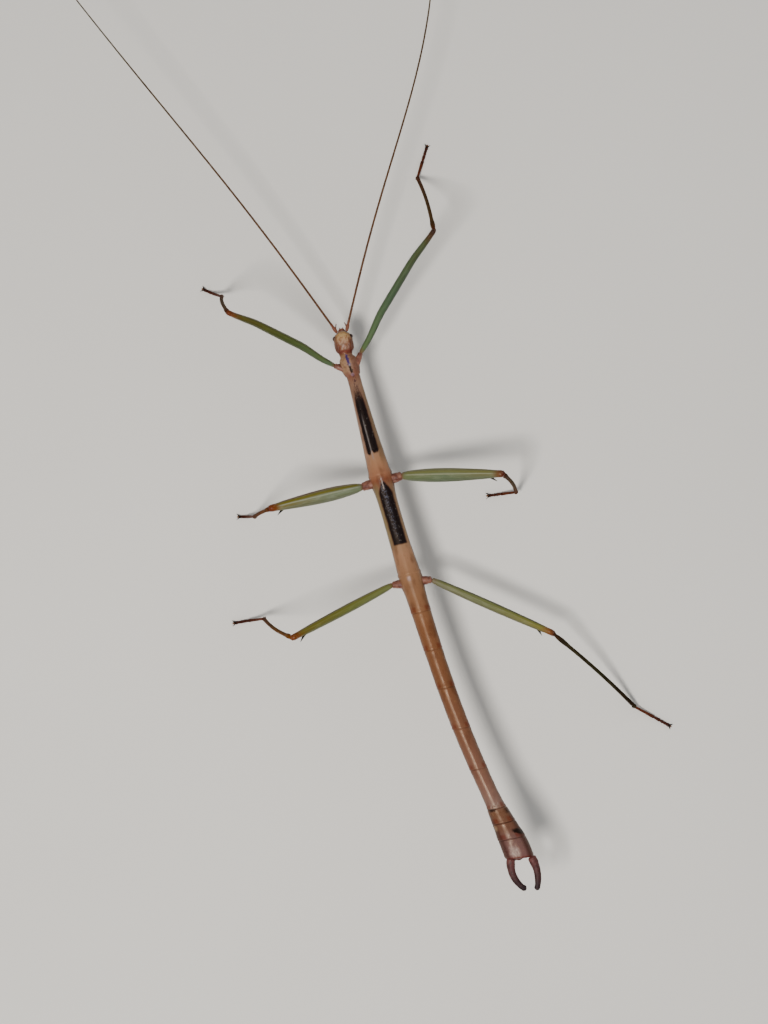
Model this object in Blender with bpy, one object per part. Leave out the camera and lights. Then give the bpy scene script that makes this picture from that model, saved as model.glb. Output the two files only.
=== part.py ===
# Giant walkingstick (male stick insect), a still life-size display model standing on its six feet.
# The scene is in metres with +Z up. The head points to -Y and the animal's left side is +X.
# Every dimension below is in millimetres or degrees and is turned into metres as it is used.
import math

import bmesh
import bpy
from mathutils import Vector

MM = 0.001
JOINT_GAP = 0.12            # clear cut between one sub-part and the next

# Body axis: runs from the front of the head to the end of the tenth abdominal segment.
BODY_LENGTH = 100.0
FRONT_HEIGHT = 11.6         # of the axis above the floor, at the front of the head
PITCH = 4.5                 # the tail end is carried higher than the head
HEADING_FRONT = 4.0         # of the axis off straight, toward the animal's left
HEADING_CHANGE = -12.6      # bends the rear of the abdomen gently to the right
TAIL_TURN = 9.0             # turns the last segments back toward straight
TAIL_TURN_START = 95.0
NECK_SHIFT = 0.36           # the axis steps aside to the left where the head meets the prothorax
NECK_END = 8.4              # and is back in line here
NECK_SOFTNESS = 0.8
WAIST_SHIFT = 0.36          # the hind body swings this far to the left between its two ends
WAIST_RANGE = (44.0, 108.0)
TAIL_SKEW = 13.0            # the rings of the tail slant: later on the right, earlier on the left
TAIL_SKEW_RANGE = (42.0, 90.0)

# Trunk rings: name, length, half widths at front, middle and rear, depth to width, slot.
TRUNK = (
    ("prothorax", 4.0, 1.42, 1.55, 1.32, 0.86, "thorax"),
    ("mesothorax", 18.8, 1.14, 1.48, 2.05, 0.90, "thorax"),
    ("metathorax", 18.7, 1.95, 1.73, 2.08, 0.92, "thorax"),
    ("abdomen_1", 7.0, 1.98, 1.84, 1.79, 0.92, "abdomen"),
    ("abdomen_2", 7.1, 1.76, 1.69, 1.66, 0.92, "abdomen"),
    ("abdomen_3", 7.15, 1.64, 1.60, 1.62, 0.92, "abdomen"),
    ("abdomen_4", 7.7, 1.61, 1.57, 1.59, 0.92, "abdomen"),
    ("abdomen_5", 7.8, 1.57, 1.52, 1.54, 0.92, "abdomen"),
    ("abdomen_6", 7.6, 1.52, 1.47, 1.62, 0.92, "abdomen"),
    ("abdomen_7", 2.8, 1.70, 1.86, 1.98, 0.90, "tail"),
    ("abdomen_8", 3.1, 2.00, 2.16, 2.34, 0.86, "tail"),
    ("abdomen_9_10", 3.85, 2.35, 2.50, 2.44, 0.76, "tail"),
)
HEAD_LENGTH = 4.4
HEAD_HALF_WIDTH = 1.72
HEAD_DEPTH = 0.84
EYE_RADIUS = 0.46
EYE_STATION = 1.25
EYE_OFFSET = 1.42
SOCKET_CLEARANCE = 0.05

# Feelers: a two-jointed base, then a thread.
FEELER_BASE_LENGTH = 2.1
FEELER_LENGTH = 87.0
FEELER_OFFSET = 0.85
FEELER_RADIUS = 0.25
FEELER_LIFT = 8.0
FEELER_SAG = 4.5
# Heading off straight ahead toward the animal's left, then a single and a double bend across it.
FEELER_CURVE = {"left": (19.5, 0.5, -0.3), "right": (-28.7, -4.2, -1.3)}

# Claspers: where each starts, and its heading at the base and at the tip, in toward the middle line.
CLASPER_LENGTH = {"left": 6.3, "right": 5.9}
CLASPER_ROOT = {"left": (99.85, 1.72), "right": (100.75, 2.08)}
CLASPER_RADII = (0.76, 0.50)
CLASPER_INWARD = {"left": (-22.0, 42.0), "right": (-9.0, 32.0)}

# Leg pairs. Each hip stands beside the trunk at a distance along the body axis.
LEGS = {
    "front": {"station": 5.4, "offset": 2.6, "rise": 0.0, "coxa_back": 1.5, "coxa_radius": 0.62,
              "femur": 28.0, "tibia": 27.5, "tarsus": 6.6,
              "femur_radii": (0.42, 0.67, 0.50), "fullest": 0.42, "tibia_radius": 0.37, "spine": 0.0},
    "mid": {"station": 28.3, "offset": 3.7, "rise": -0.3, "coxa_back": 0.0, "coxa_radius": 0.95,
            "femur": 20.4, "tibia": 20.6, "tarsus": 6.0,
            "femur_radii": (0.72, 1.22, 0.68), "fullest": 0.36, "tibia_radius": 0.40, "spine": 1.9},
    "hind": {"station": 47.3, "offset": 3.5, "rise": -0.3, "coxa_back": 0.0, "coxa_radius": 0.90,
             "femur": 24.2, "tibia": 24.8, "tarsus": 8.0,
             "femur_radii": (0.54, 0.78, 0.60), "fullest": 0.42, "tibia_radius": 0.38, "spine": 1.9},
}
# Pose of each leg: how far back its coxa carries the hip, then the swing forward of straight out
# and the lift above level of each long joint, and the swing of the foot.
POSE = {
    ("front", "left"): {"hip_back": 0.2, "femur": (42.5, 45), "tibia": (80.5, -77.5), "tarsus": 43.5},
    ("front", "right"): {"hip_back": -0.5, "femur": (39, 29), "tibia": (83, -62), "tarsus": 54.5},
    ("mid", "left"): {"hip_back": 0.0, "femur": (5, 35), "tibia": (-2.5, -79), "tarsus": 18},
    ("mid", "right"): {"hip_back": 0.0, "femur": (-18, 28), "tibia": (-62.5, -77.5), "tarsus": 168.5},
    ("hind", "left"): {"hip_back": -0.6, "femur": (-8, 35.5), "tibia": (39.5, -75), "tarsus": 8.5},
    ("hind", "right"): {"hip_back": 0.6, "femur": (-42.5, -3), "tibia": (-60.5, -30), "tarsus": -47.5},
}
TARSUS_RADIUS = 0.30
FOOT_HEIGHT = 0.22          # of the last foot joint's middle, so its underside is cut flat at the floor
CLAW_LENGTH = 0.95
FEMUR_BOW = {"front": 0.62, "mid": 0.0, "hind": 0.0}
TIBIA_BOW = 0.5

SLOTS = {
    "head": ((0.52, 0.27, 0.12), 0.30),
    "thorax": ((0.38, 0.20, 0.12), 0.32),
    "abdomen": ((0.42, 0.20, 0.08), 0.25),
    "tail": ((0.36, 0.18, 0.11), 0.30),
    "eye": ((0.20, 0.10, 0.06), 0.12),
    "feeler": ((0.20, 0.12, 0.07), 0.45),
    "coxa": ((0.33, 0.14, 0.10), 0.40),
    "femur_front": ((0.11, 0.19, 0.07), 0.40),
    "femur_rear": ((0.30, 0.32, 0.14), 0.38),
    "tibia": ((0.12, 0.08, 0.05), 0.42),
    "tarsus": ((0.24, 0.08, 0.04), 0.45),
    "clasper": ((0.10, 0.05, 0.045), 0.35),
}


def clear_scene():
    for item in list(bpy.data.objects):
        bpy.data.objects.remove(item, do_unlink=True)


def make_collection(name):
    collection = bpy.data.collections.new(name)
    bpy.context.scene.collection.children.link(collection)
    return collection


def make_materials():
    materials = {}
    for slot, (colour, roughness) in SLOTS.items():
        material = bpy.data.materials.new(slot)
        material.use_nodes = True
        shader = material.node_tree.nodes["Principled BSDF"]
        shader.inputs["Base Color"].default_value = (*colour, 1.0)
        shader.inputs["Roughness"].default_value = roughness
        materials[slot] = material
    return materials


def blend3(first, middle, last, u):
    # The quadratic that passes through three values at u = 0, 0.5 and 1.
    return (first * (1 - u) * (1 - 2 * u) + middle * 4 * u * (1 - u) + last * u * (2 * u - 1))


def smooth(value, low, high):
    # 0 below low, 1 above high and a smooth S between them.
    share = min(max((value - low) / (high - low), 0.0), 1.0)
    return share * share * (3 - 2 * share)


def soft_ramp(distance):
    # Zero before the start and rising one for one after it, with a soft corner; then its slope.
    reach = math.hypot(distance, NECK_SOFTNESS)
    return (distance + reach) / 2, (1 + distance / reach) / 2


def neck_step(station):
    # How far the axis stands aside round the neck, and the slope of that.
    out, back = NECK_SHIFT / HEAD_LENGTH, NECK_SHIFT / (NECK_END - HEAD_LENGTH)
    turn, turn_slope = soft_ramp(station - HEAD_LENGTH)
    level, level_slope = soft_ramp(station - NECK_END)
    step = out * station - (out + back) * turn + back * level
    return step, out - (out + back) * turn_slope + back * level_slope


def waist_step(station):
    # How far the hind body swings aside, as the square of a half sine, and the slope of that.
    low, high = WAIST_RANGE
    turn = math.pi * min(max((station - low) / (high - low), 0.0), 1.0)
    slope = WAIST_SHIFT * math.sin(2 * turn) * math.pi / (high - low)
    return WAIST_SHIFT * math.sin(turn) ** 2, slope


def heading(station):
    # The bend grows with the square of the distance; the tail turn with the distance past its start.
    share = station / BODY_LENGTH
    past = max(station - TAIL_TURN_START, 0.0) / (BODY_LENGTH - TAIL_TURN_START)
    plain = math.radians(HEADING_FRONT + HEADING_CHANGE * share ** 2 + TAIL_TURN * past)
    return plain + neck_step(station)[1] + waist_step(station)[1]


def spine(station):
    # A point of the body axis: the heading, summed along the length.
    share = station / BODY_LENGTH
    past = max(station - TAIL_TURN_START, 0.0)
    drift = neck_step(station)[0] + waist_step(station)[0] + math.radians(HEADING_FRONT) * station
    drift += math.radians(HEADING_CHANGE) * station * share ** 2 / 3
    drift += math.radians(TAIL_TURN) * past ** 2 / (2 * (BODY_LENGTH - TAIL_TURN_START))
    rise = math.radians(PITCH)
    return Vector((drift, station * math.cos(rise), FRONT_HEIGHT + station * math.sin(rise)))


def leftward(station):
    turn = heading(station)
    return Vector((math.cos(turn), -math.sin(turn), 0.0))


def beside(station, offset, rise=0.0):
    return spine(station) + leftward(station) * offset + Vector((0.0, 0.0, rise))


def leg_direction(side, swing, lift):
    swing, lift = math.radians(swing), math.radians(lift)
    level = math.cos(lift)
    return Vector((side * level * math.cos(swing), -level * math.sin(swing), math.sin(lift)))


def stations(length, count, front_round, rear_round, steps=3):
    # Distances along a tube with the share of full radius at each: a quarter circle at both ends.
    front, rear = [], []
    for step in range(1, steps):
        turn = math.radians(18 + 72 * (step - 1) / (steps - 1))
        front.append((front_round * (1 - math.cos(turn)), math.sin(turn)))
        rear.append((length - rear_round * (1 - math.cos(turn)), math.sin(turn)))
    middle = [
        (front_round + (length - front_round - rear_round) * step / (count - 1), 1.0)
        for step in range(count)
    ]
    return front + middle + rear[::-1]


def make_section(depth, sides):
    # A closed oval one unit wide each way and `depth` high, used as the bevel of trunk tubes.
    data = bpy.data.curves.new("section", "CURVE")
    data.dimensions = "2D"
    spline = data.splines.new("POLY")
    spline.points.add(sides - 1)
    spline.use_cyclic_u = True
    for index, point in enumerate(spline.points):
        turn = 2 * math.pi * (index + 0.5) / sides
        point.co = (MM * math.cos(turn), MM * depth * math.sin(turn), 0.0, 1.0)
    section = bpy.data.objects.new("section", data)
    bpy.context.scene.collection.objects.link(section)
    return section


def tube_mesh(name, path, radius, rings, depth=None, sides=8):
    # Sweeps a round or oval section along path(distance), radius(distance) wide, with both ends filled.
    data = bpy.data.curves.new(name, "CURVE")
    data.dimensions = "3D"
    data.use_fill_caps = True
    section = None
    if depth is None:
        data.bevel_depth = MM
        data.bevel_resolution = sides // 2 - 2
    else:
        section = make_section(depth, sides)
        data.bevel_mode = "OBJECT"
        data.bevel_object = section
    spline = data.splines.new("POLY")
    spline.points.add(len(rings) - 1)
    for point, (distance, share) in zip(spline.points, rings):
        point.co = (*(path(distance) * MM), 1.0)
        point.radius = radius(distance) * share
    holder = bpy.data.objects.new(name + "_curve", data)
    bpy.context.scene.collection.objects.link(holder)
    graph = bpy.context.evaluated_depsgraph_get()
    mesh = bpy.data.meshes.new_from_object(holder.evaluated_get(graph))
    mesh.name = name
    build = bmesh.new()
    build.from_mesh(mesh)
    bmesh.ops.remove_doubles(build, verts=build.verts, dist=1e-7)
    bmesh.ops.recalc_face_normals(build, faces=build.faces)
    build.to_mesh(mesh)
    build.free()
    bpy.data.objects.remove(holder, do_unlink=True)
    if section is not None:
        bpy.data.objects.remove(section, do_unlink=True)
    return mesh


def ball_mesh(name, radius, stretch=(1.0, 1.0, 1.0), segments=16, rings=10):
    build = bmesh.new()
    bmesh.ops.create_uvsphere(build, u_segments=segments, v_segments=rings, radius=radius * MM)
    bmesh.ops.scale(build, vec=stretch, verts=build.verts)
    mesh = bpy.data.meshes.new(name)
    build.to_mesh(mesh)
    build.free()
    return mesh


def finish_mesh(mesh, material=None):
    for face in mesh.polygons:
        face.use_smooth = True
    mesh.materials.clear()
    if material is not None:
        mesh.materials.append(material)


def add_part(name, mesh, slot, place=(0.0, 0.0, 0.0), turn=(0.0, 0.0, 0.0)):
    finish_mesh(mesh, materials[slot])
    part = bpy.data.objects.new(name, mesh)
    model.objects.link(part)
    part.parent = root
    part.location = Vector(place) * MM
    part.rotation_euler = turn
    return part


def add_cutter(name, mesh, place=(0.0, 0.0, 0.0), turn=(0.0, 0.0, 0.0)):
    cutter = bpy.data.objects.new(name, mesh)
    cutters.objects.link(cutter)
    cutter.parent = root
    cutter.location = Vector(place) * MM
    cutter.rotation_euler = turn
    cutter.hide_render = True
    cutter.display_type = "WIRE"
    return cutter


def combine(part, other, operation):
    step = part.modifiers.new(other.name, "BOOLEAN")
    step.operation = operation
    step.solver = "EXACT"
    step.object = other


def build_trunk():
    start = HEAD_LENGTH
    for name, length, front, middle, rear, depth, slot in TRUNK:
        inner = length - JOINT_GAP

        def path(distance, start=start):
            return spine(start + distance)

        def radius(distance, inner=inner, front=front, middle=middle, rear=rear):
            return blend3(front, middle, rear, distance / inner)

        rings = stations(inner, 7 if length > 10 else 3, 0.35, 0.30)
        sides = 12 if name.startswith("abdomen") else 14
        mesh = tube_mesh(name, path, radius, rings, depth=depth, sides=sides)
        slant_rings(mesh)
        add_part(name, mesh, slot)
        start += length


def slant_rings(mesh):
    # Slides each point along the body by its distance aside, times a slant that grows to the rear.
    rise = math.radians(PITCH)
    for vertex in mesh.vertices:
        point = vertex.co / MM
        station = point.y / math.cos(rise)
        aside = (point - spine(station)).dot(leftward(station))
        low, high = TAIL_SKEW_RANGE
        skew = TAIL_SKEW * min(max((station - low) / (high - low), 0.0), 1.0)
        slide = -aside * math.tan(math.radians(skew))
        turn = heading(station)
        along = Vector((math.sin(turn), math.cos(turn), math.tan(rise)))
        vertex.co = (point + along * slide) * MM


def build_head():
    inner = HEAD_LENGTH - JOINT_GAP

    def radius(distance):
        return HEAD_HALF_WIDTH * blend3(0.86, 1.0, 0.90, distance / inner)

    rings = stations(inner, 4, 1.5, 0.8, steps=4)
    capsule = tube_mesh("head", spine, radius, rings, depth=HEAD_DEPTH, sides=14)
    head = add_part("head", capsule, "head")
    tilt = (math.radians(PITCH), 0.0, -heading(0.0))
    jaw = ball_mesh("jaw_form", 1.0, (0.95, 1.0, 0.85), 10, 6)
    combine(head, add_cutter("jaw_form", jaw, beside(0.45, 0.0, -0.55), tilt), "UNION")
    for side, sign in (("left", 1), ("right", -1)):
        centre = beside(EYE_STATION, sign * EYE_OFFSET, 0.15)
        hollow = ball_mesh(f"eye_socket_{side}", EYE_RADIUS + SOCKET_CLEARANCE, segments=12, rings=6)
        combine(head, add_cutter(f"eye_socket_{side}", hollow, centre), "DIFFERENCE")
        eye = ball_mesh(f"eye_{side}", EYE_RADIUS, segments=12, rings=6)
        add_part(f"eye_{side}", eye, "eye", centre)
        hollow = ball_mesh(f"feeler_socket_{side}", 0.50, segments=10, rings=6)
        socket = add_cutter(f"feeler_socket_{side}", hollow, feeler_point(side, 0.30))
        combine(head, socket, "DIFFERENCE")


def feeler_point(side, distance):
    # A point of a feeler: straight out at its heading, bent a little, rising and then sagging.
    sign = 1 if side == "left" else -1
    turn, bow, sway = FEELER_CURVE[side]
    turn = math.radians(turn)
    share = distance / FEELER_LENGTH
    ahead = Vector((math.sin(turn), -math.cos(turn), 0.0))
    across = Vector((math.cos(turn), math.sin(turn), 0.0))
    bend = sign * (sway * math.sin(2 * math.pi * share) - bow * math.sin(math.pi * share))
    rise = distance * math.tan(math.radians(FEELER_LIFT)) - FEELER_SAG * share ** 2
    foot = beside(0.25, sign * FEELER_OFFSET, 0.35 + rise)
    return foot + ahead * distance + across * bend


def build_feelers():
    for side in ("left", "right"):
        def base_path(distance, side=side):
            return feeler_point(side, distance)

        def base_radius(distance):
            waist = 0.10 * math.exp(-((distance - 1.45) / 0.14) ** 2)
            return 0.38 - 0.05 * distance - waist

        rings = stations(FEELER_BASE_LENGTH, 7, 0.3, 0.15)
        mesh = tube_mesh(f"feeler_base_{side}", base_path, base_radius, rings)
        add_part(f"feeler_base_{side}", mesh, "feeler")

        def thread_path(distance, side=side):
            return feeler_point(side, FEELER_BASE_LENGTH + JOINT_GAP + distance)

        rings = stations(FEELER_LENGTH - FEELER_BASE_LENGTH - JOINT_GAP, 15, 0.25, 1.0, steps=2)
        mesh = tube_mesh(f"feeler_{side}", thread_path, lambda distance: FEELER_RADIUS, rings)
        add_part(f"feeler_{side}", mesh, "feeler")


def build_claspers():
    for side, sign in (("left", 1), ("right", -1)):
        start, end = CLASPER_INWARD[side]
        length = CLASPER_LENGTH[side]
        steps = 12
        root_station, root_offset = CLASPER_ROOT[side]
        point = beside(root_station, sign * root_offset, 0.1)
        points = [point]
        for step in range(steps):
            inward = start + (end - start) * (step + 0.5) / steps
            turn = heading(BODY_LENGTH) - sign * math.radians(inward)
            point = point + Vector((math.sin(turn), math.cos(turn), -0.08)) * (length / steps)
            points.append(point)

        def path(distance, points=points, length=length):
            place = distance / length * steps
            low = min(int(place), steps - 1)
            return points[low].lerp(points[low + 1], place - low)

        def radius(distance, length=length):
            base, tip = CLASPER_RADII
            return base + (tip - base) * (distance / length) ** 1.5

        mesh = tube_mesh(f"clasper_{side}", path, radius, stations(length, 6, 0.3, 0.6), sides=10)
        add_part(f"clasper_{side}", mesh, "clasper")


def build_plate():
    # The swollen plate beneath the eighth and ninth segments, clear of them by the joint gap.
    tilt = (math.radians(PITCH - 4.0), 0.0, -heading(95.0))
    plate = add_part("genital_plate", ball_mesh("genital_plate", 1.0, (1.35, 2.5, 1.1), 14, 8), "tail",
                     beside(95.4, 0.0, -1.75), tilt)
    start = BODY_LENGTH - sum(entry[1] for entry in TRUNK[-3:])
    for name, length, front, middle, rear, depth, slot in TRUNK[-3:]:
        def path(distance, start=start):
            return spine(start - 0.3 + distance)

        def radius(distance, length=length, front=front, middle=middle, rear=rear):
            share = min(max((distance - 0.3) / length, 0.0), 1.0)
            return blend3(front, middle, rear, share) + JOINT_GAP

        rings = [((length + 0.6) * step / 5, 1.0) for step in range(6)]
        form = tube_mesh(f"{name}_clear", path, radius, rings, depth=depth, sides=14)
        combine(plate, add_cutter(f"{name}_clear", form), "DIFFERENCE")
        start += length


def segment_path(start, end, bow):
    # A straight run from start to end with a half-sine bow added along the vector `bow`.
    length = (end - start).length

    def path(distance):
        share = distance / length
        return start.lerp(end, share) + bow * math.sin(math.pi * share)

    return path, length


def build_leg(pair, side):
    sign = 1 if side == "left" else -1
    leg, pose = LEGS[pair], POSE[(pair, side)]
    name = f"leg_{pair}_{side}"
    hip = beside(leg["station"] + pose["hip_back"], sign * leg["offset"], leg["rise"])
    thigh = leg_direction(sign, *pose["femur"])
    shin = leg_direction(sign, *pose["tibia"])
    knee = hip + thigh * leg["femur"]
    ankle = knee + shin * leg["tibia"]
    build_coxa(name, leg, sign, hip)
    build_femur(name, pair, leg, sign, hip, knee, thigh, shin)
    build_tibia(name, leg, knee, ankle, thigh, shin)
    build_tarsus(name, leg, ankle, shin, leg_direction(sign, pose["tarsus"], 0.0))


def build_coxa(name, leg, sign, hip):
    # A stub from the side of the trunk out to the hip, its inner end cut to clear the trunk.
    inner = beside(leg["station"] + leg["coxa_back"], sign * 1.2, leg["rise"])
    path, length = segment_path(inner, hip, Vector())
    full = leg["coxa_radius"]
    base = leg["femur_radii"][0]
    length -= JOINT_GAP

    def radius(distance):
        return full + (base + 0.06 - full) * (distance / length) ** 1.3

    mesh = tube_mesh(f"{name}_coxa", path, radius, stations(length, 3, 0.2, 0.35), sides=10)
    coxa = add_part(f"{name}_coxa", mesh, "coxa")
    combine(coxa, trunk_clearance[leg["station"]], "DIFFERENCE")


def build_femur(name, pair, leg, sign, hip, knee, thigh, shin):
    ahead = Vector((0.0, -1.0, 0.0))
    toward_head = (ahead - thigh * ahead.dot(thigh)).normalized()
    start = hip + thigh * 0.05
    length = (knee - start).length
    base, fullest, apex = leg["femur_radii"]

    def path(distance):
        share = distance / length
        bow = FEMUR_BOW[pair] * smooth(share, 0.08, 0.34) * (1 - smooth(share, 0.70, 1.0))
        return start.lerp(knee, share) + toward_head * bow

    def radius(distance):
        share = distance / length
        if share < leg["fullest"]:
            swell = math.sin(0.5 * math.pi * share / leg["fullest"])
            return base + (fullest - base) * swell
        fade = (share - leg["fullest"]) / (1 - leg["fullest"])
        return apex + (fullest - apex) * math.cos(0.5 * math.pi * fade) ** 1.4

    rings = 11 if pair == "front" else 8
    mesh = tube_mesh(f"{name}_femur", path, radius, stations(length, rings, 0.3, apex), sides=10)
    slot = "femur_front" if pair == "front" else "femur_rear"
    femur = add_part(f"{name}_femur", mesh, slot)
    if leg["spine"] > 0.0:
        below = Vector((0.0, 0.90, -0.45))
        below = (below - thigh * below.dot(thigh)).normalized()
        root_point = knee - thigh * 3.2 + below * (apex - 0.30)
        tip = root_point + (thigh * 0.80 + below * 0.60) * leg["spine"]
        tip_path, tip_length = segment_path(root_point, tip, Vector())

        def spine_radius(distance):
            return 0.30 - 0.20 * distance / tip_length

        rings = stations(tip_length, 2, 0.1, 0.1, steps=2)
        form = tube_mesh(f"{name}_spine", tip_path, spine_radius, rings, sides=6)
        combine(femur, add_cutter(f"{name}_spine", form), "UNION")


def build_tibia(name, leg, knee, ankle, thigh, shin):
    full = leg["tibia_radius"]
    clear = leg["femur_radii"][2] + JOINT_GAP
    outward = (thigh - shin * thigh.dot(shin)).normalized()
    path, length = segment_path(knee + shin * clear, ankle, outward * TIBIA_BOW)

    def radius(distance):
        share = distance / length
        return full * (0.84 + 0.30 * math.exp(-((share - 0.07) / 0.06) ** 2) + 0.12 * share ** 6)

    mesh = tube_mesh(f"{name}_tibia", path, radius, stations(length, 7, 0.4, 0.3, steps=2), sides=8)
    add_part(f"{name}_tibia", mesh, "tibia")


def build_tarsus(name, leg, ankle, shin, forward):
    # Five foot joints in one run that drops from the ankle to lie along the floor, with two claws.
    start = ankle + shin * 0.06
    drop = start.z - FOOT_HEIGHT
    reach = math.sqrt((0.93 * leg["tarsus"]) ** 2 - drop ** 2)
    length = leg["tarsus"]
    joints = (0.44, 0.62, 0.74, 0.83)

    def path(distance):
        share = distance / length
        height = FOOT_HEIGHT + drop * (1 - share) ** 3
        level = start + forward * reach * (share + 0.12 * math.sin(math.pi * share))
        return Vector((level.x, level.y, height))

    def radius(distance):
        share = distance / length
        nick = sum(math.exp(-((share - joint) / 0.018) ** 2) for joint in joints)
        return TARSUS_RADIUS * (0.92 + 0.18 * share - 0.22 * nick)

    rings = [(length * 0.012, 0.5), (length * 0.04, 1.0), (length * 0.40, 1.0)]
    for joint, following in zip(joints, joints[1:] + (1.0,)):
        rings += [(length * joint, 1.0), (length * (joint + 0.35 * (following - joint)), 1.0)]
    rings += [(length * 0.95, 1.0), (length * 0.99, 0.75)]
    mesh = tube_mesh(f"{name}_tarsus", path, radius, rings, sides=8)
    cut_at_floor(mesh)
    tarsus = add_part(f"{name}_tarsus", mesh, "tarsus")
    across = forward.cross(Vector((0.0, 0.0, 1.0)))
    for label, sign in (("a", 1), ("b", -1)):
        heel = path(length * 0.965)
        spread = forward * 0.80 + across * sign * 0.60

        def claw_path(distance, heel=heel, spread=spread):
            share = distance / CLAW_LENGTH
            arch = 0.42 * math.sin(2.4 * share) - 0.22 * share
            return heel + spread * distance + Vector((0.0, 0.0, arch))

        def claw_radius(distance):
            return 0.20 - 0.10 * distance / CLAW_LENGTH

        rings = stations(CLAW_LENGTH, 3, 0.1, 0.1, steps=2)
        form = tube_mesh(f"{name}_claw_{label}", claw_path, claw_radius, rings, sides=4)
        combine(tarsus, add_cutter(f"{name}_claw_{label}", form), "UNION")


def cut_at_floor(mesh):
    # Slices off what lies below the floor and closes the slice with one flat face.
    build = bmesh.new()
    build.from_mesh(mesh)
    everything = build.verts[:] + build.edges[:] + build.faces[:]
    floor = {"plane_co": (0.0, 0.0, 0.0), "plane_no": (0.0, 0.0, -1.0)}
    cut = bmesh.ops.bisect_plane(build, geom=everything, clear_outer=True, **floor)
    rim = [item for item in cut["geom_cut"] if isinstance(item, bmesh.types.BMEdge)]
    bmesh.ops.holes_fill(build, edges=rim, sides=0)
    bmesh.ops.recalc_face_normals(build, faces=build.faces)
    build.to_mesh(mesh)
    build.free()


def make_trunk_clearances():
    # One oversize copy of the trunk beside each pair of hips, for cutting the coxae back.
    forms = {}
    for pair, leg in LEGS.items():
        half = 4.0

        def path(distance, station=leg["station"]):
            return spine(station - half + distance)

        def radius(distance, station=leg["station"]):
            return trunk_half_width(station - half + distance) + JOINT_GAP

        rings = [(2 * half * step / 12, 1.0) for step in range(13)]
        form = tube_mesh(f"trunk_beside_{pair}", path, radius, rings, depth=0.92, sides=24)
        forms[leg["station"]] = add_cutter(f"trunk_beside_{pair}", form)
    return forms


def trunk_half_width(station):
    start = HEAD_LENGTH
    for name, length, front, middle, rear, depth, slot in TRUNK:
        if station < start + length:
            share = max((station - start) / length, 0.0)
            return blend3(front, middle, rear, share)
        start += length
    return TRUNK[-1][4]


def centre_on_origin():
    # Moves the model so the middle of its bounding box's underside is at the origin.
    graph = bpy.context.evaluated_depsgraph_get()
    corners = []
    for part in model.objects:
        if part.type == "MESH":
            placed = part.evaluated_get(graph)
            corners += [part.matrix_world @ vertex.co for vertex in placed.to_mesh().vertices]
            placed.to_mesh_clear()
    low = [min(corner[axis] for corner in corners) for axis in range(3)]
    high = [max(corner[axis] for corner in corners) for axis in range(3)]
    root.location = (-(low[0] + high[0]) / 2, -(low[1] + high[1]) / 2, -low[2])
    print("size in millimetres", [round((high[axis] - low[axis]) * 1000, 2) for axis in range(3)])


clear_scene()
model = make_collection("giant_walkingstick")
cutters = make_collection("cutters")
materials = make_materials()
root = bpy.data.objects.new("giant_walkingstick_root", None)
model.objects.link(root)
trunk_clearance = make_trunk_clearances()
build_trunk()
build_head()
build_feelers()
build_claspers()
build_plate()
for pair in LEGS:
    for side in ("left", "right"):
        build_leg(pair, side)
bpy.context.view_layer.update()
centre_on_origin()
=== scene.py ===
import bpy
import numpy as np
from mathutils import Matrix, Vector


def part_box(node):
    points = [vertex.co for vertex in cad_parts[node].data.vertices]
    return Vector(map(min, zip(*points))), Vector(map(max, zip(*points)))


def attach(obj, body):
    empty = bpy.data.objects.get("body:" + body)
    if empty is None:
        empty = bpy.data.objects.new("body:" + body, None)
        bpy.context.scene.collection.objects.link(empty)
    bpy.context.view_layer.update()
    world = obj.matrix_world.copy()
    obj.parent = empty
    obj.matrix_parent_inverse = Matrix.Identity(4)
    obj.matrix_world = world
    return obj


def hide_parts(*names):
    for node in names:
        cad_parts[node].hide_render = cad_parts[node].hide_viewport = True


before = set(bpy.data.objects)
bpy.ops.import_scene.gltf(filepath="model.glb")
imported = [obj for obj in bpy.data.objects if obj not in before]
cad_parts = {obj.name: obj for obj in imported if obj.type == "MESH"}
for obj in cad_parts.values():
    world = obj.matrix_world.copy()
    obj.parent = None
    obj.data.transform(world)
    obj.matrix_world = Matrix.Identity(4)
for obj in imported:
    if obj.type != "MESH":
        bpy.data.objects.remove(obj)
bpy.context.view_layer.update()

mm = 0.001
print("the packed model is loaded:", len(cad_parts), "nodes")


# Lines and shells shared by all the pieces.

axis = {
    "length": 100.0,
    "frontHeight": 11.6,
    "pitch": 4.5,
    "headingFront": 4.0,
    "headingChange": -12.6,
    "tailTurn": 9.0,
    "tailTurnStart": 95.0,
    "neckShift": 0.36,
    "neckPlace": 4.4,
    "neckEnd": 8.4,
    "neckSoftness": 0.8,
    "waistShift": 0.36,
    "waistRange": (44.0, 108.0),
    "tailSkew": 13.0,
    "skewFrom": 42.0,
    "skewFull": 90.0,
}
up = np.array([0.0, 0.0, 1.0])
signs = {"left": 1, "right": -1}


def bell(value, centre, width):
    # 1 at the centre, falling off on both sides as a Gaussian of that width.
    return np.exp(-((value - centre) / width) ** 2)


def rise(value, low, high):
    # 0 below low, 1 above high and a smooth S between them.
    share = np.clip((value - low) / (high - low), 0, 1)
    return share * share * (3 - 2 * share)


def between(value, low, full, fading, high):
    # 0 below low, 1 from full to fading and 0 again above high.
    return rise(value, low, full) * (1 - rise(value, fading, high))


def wrapped(angle):
    # The same angle between half a turn back and half a turn on.
    return (angle + np.pi) % (2 * np.pi) - np.pi


def unit(vectors):
    vectors = np.asarray(vectors, float)
    return vectors / np.linalg.norm(vectors, axis=-1, keepdims=True)


def squareTo(line, direction):
    # What is left of a direction when its share along the line is taken out.
    direction = np.asarray(direction, float)
    return unit(direction - line * direction.dot(line))


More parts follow.
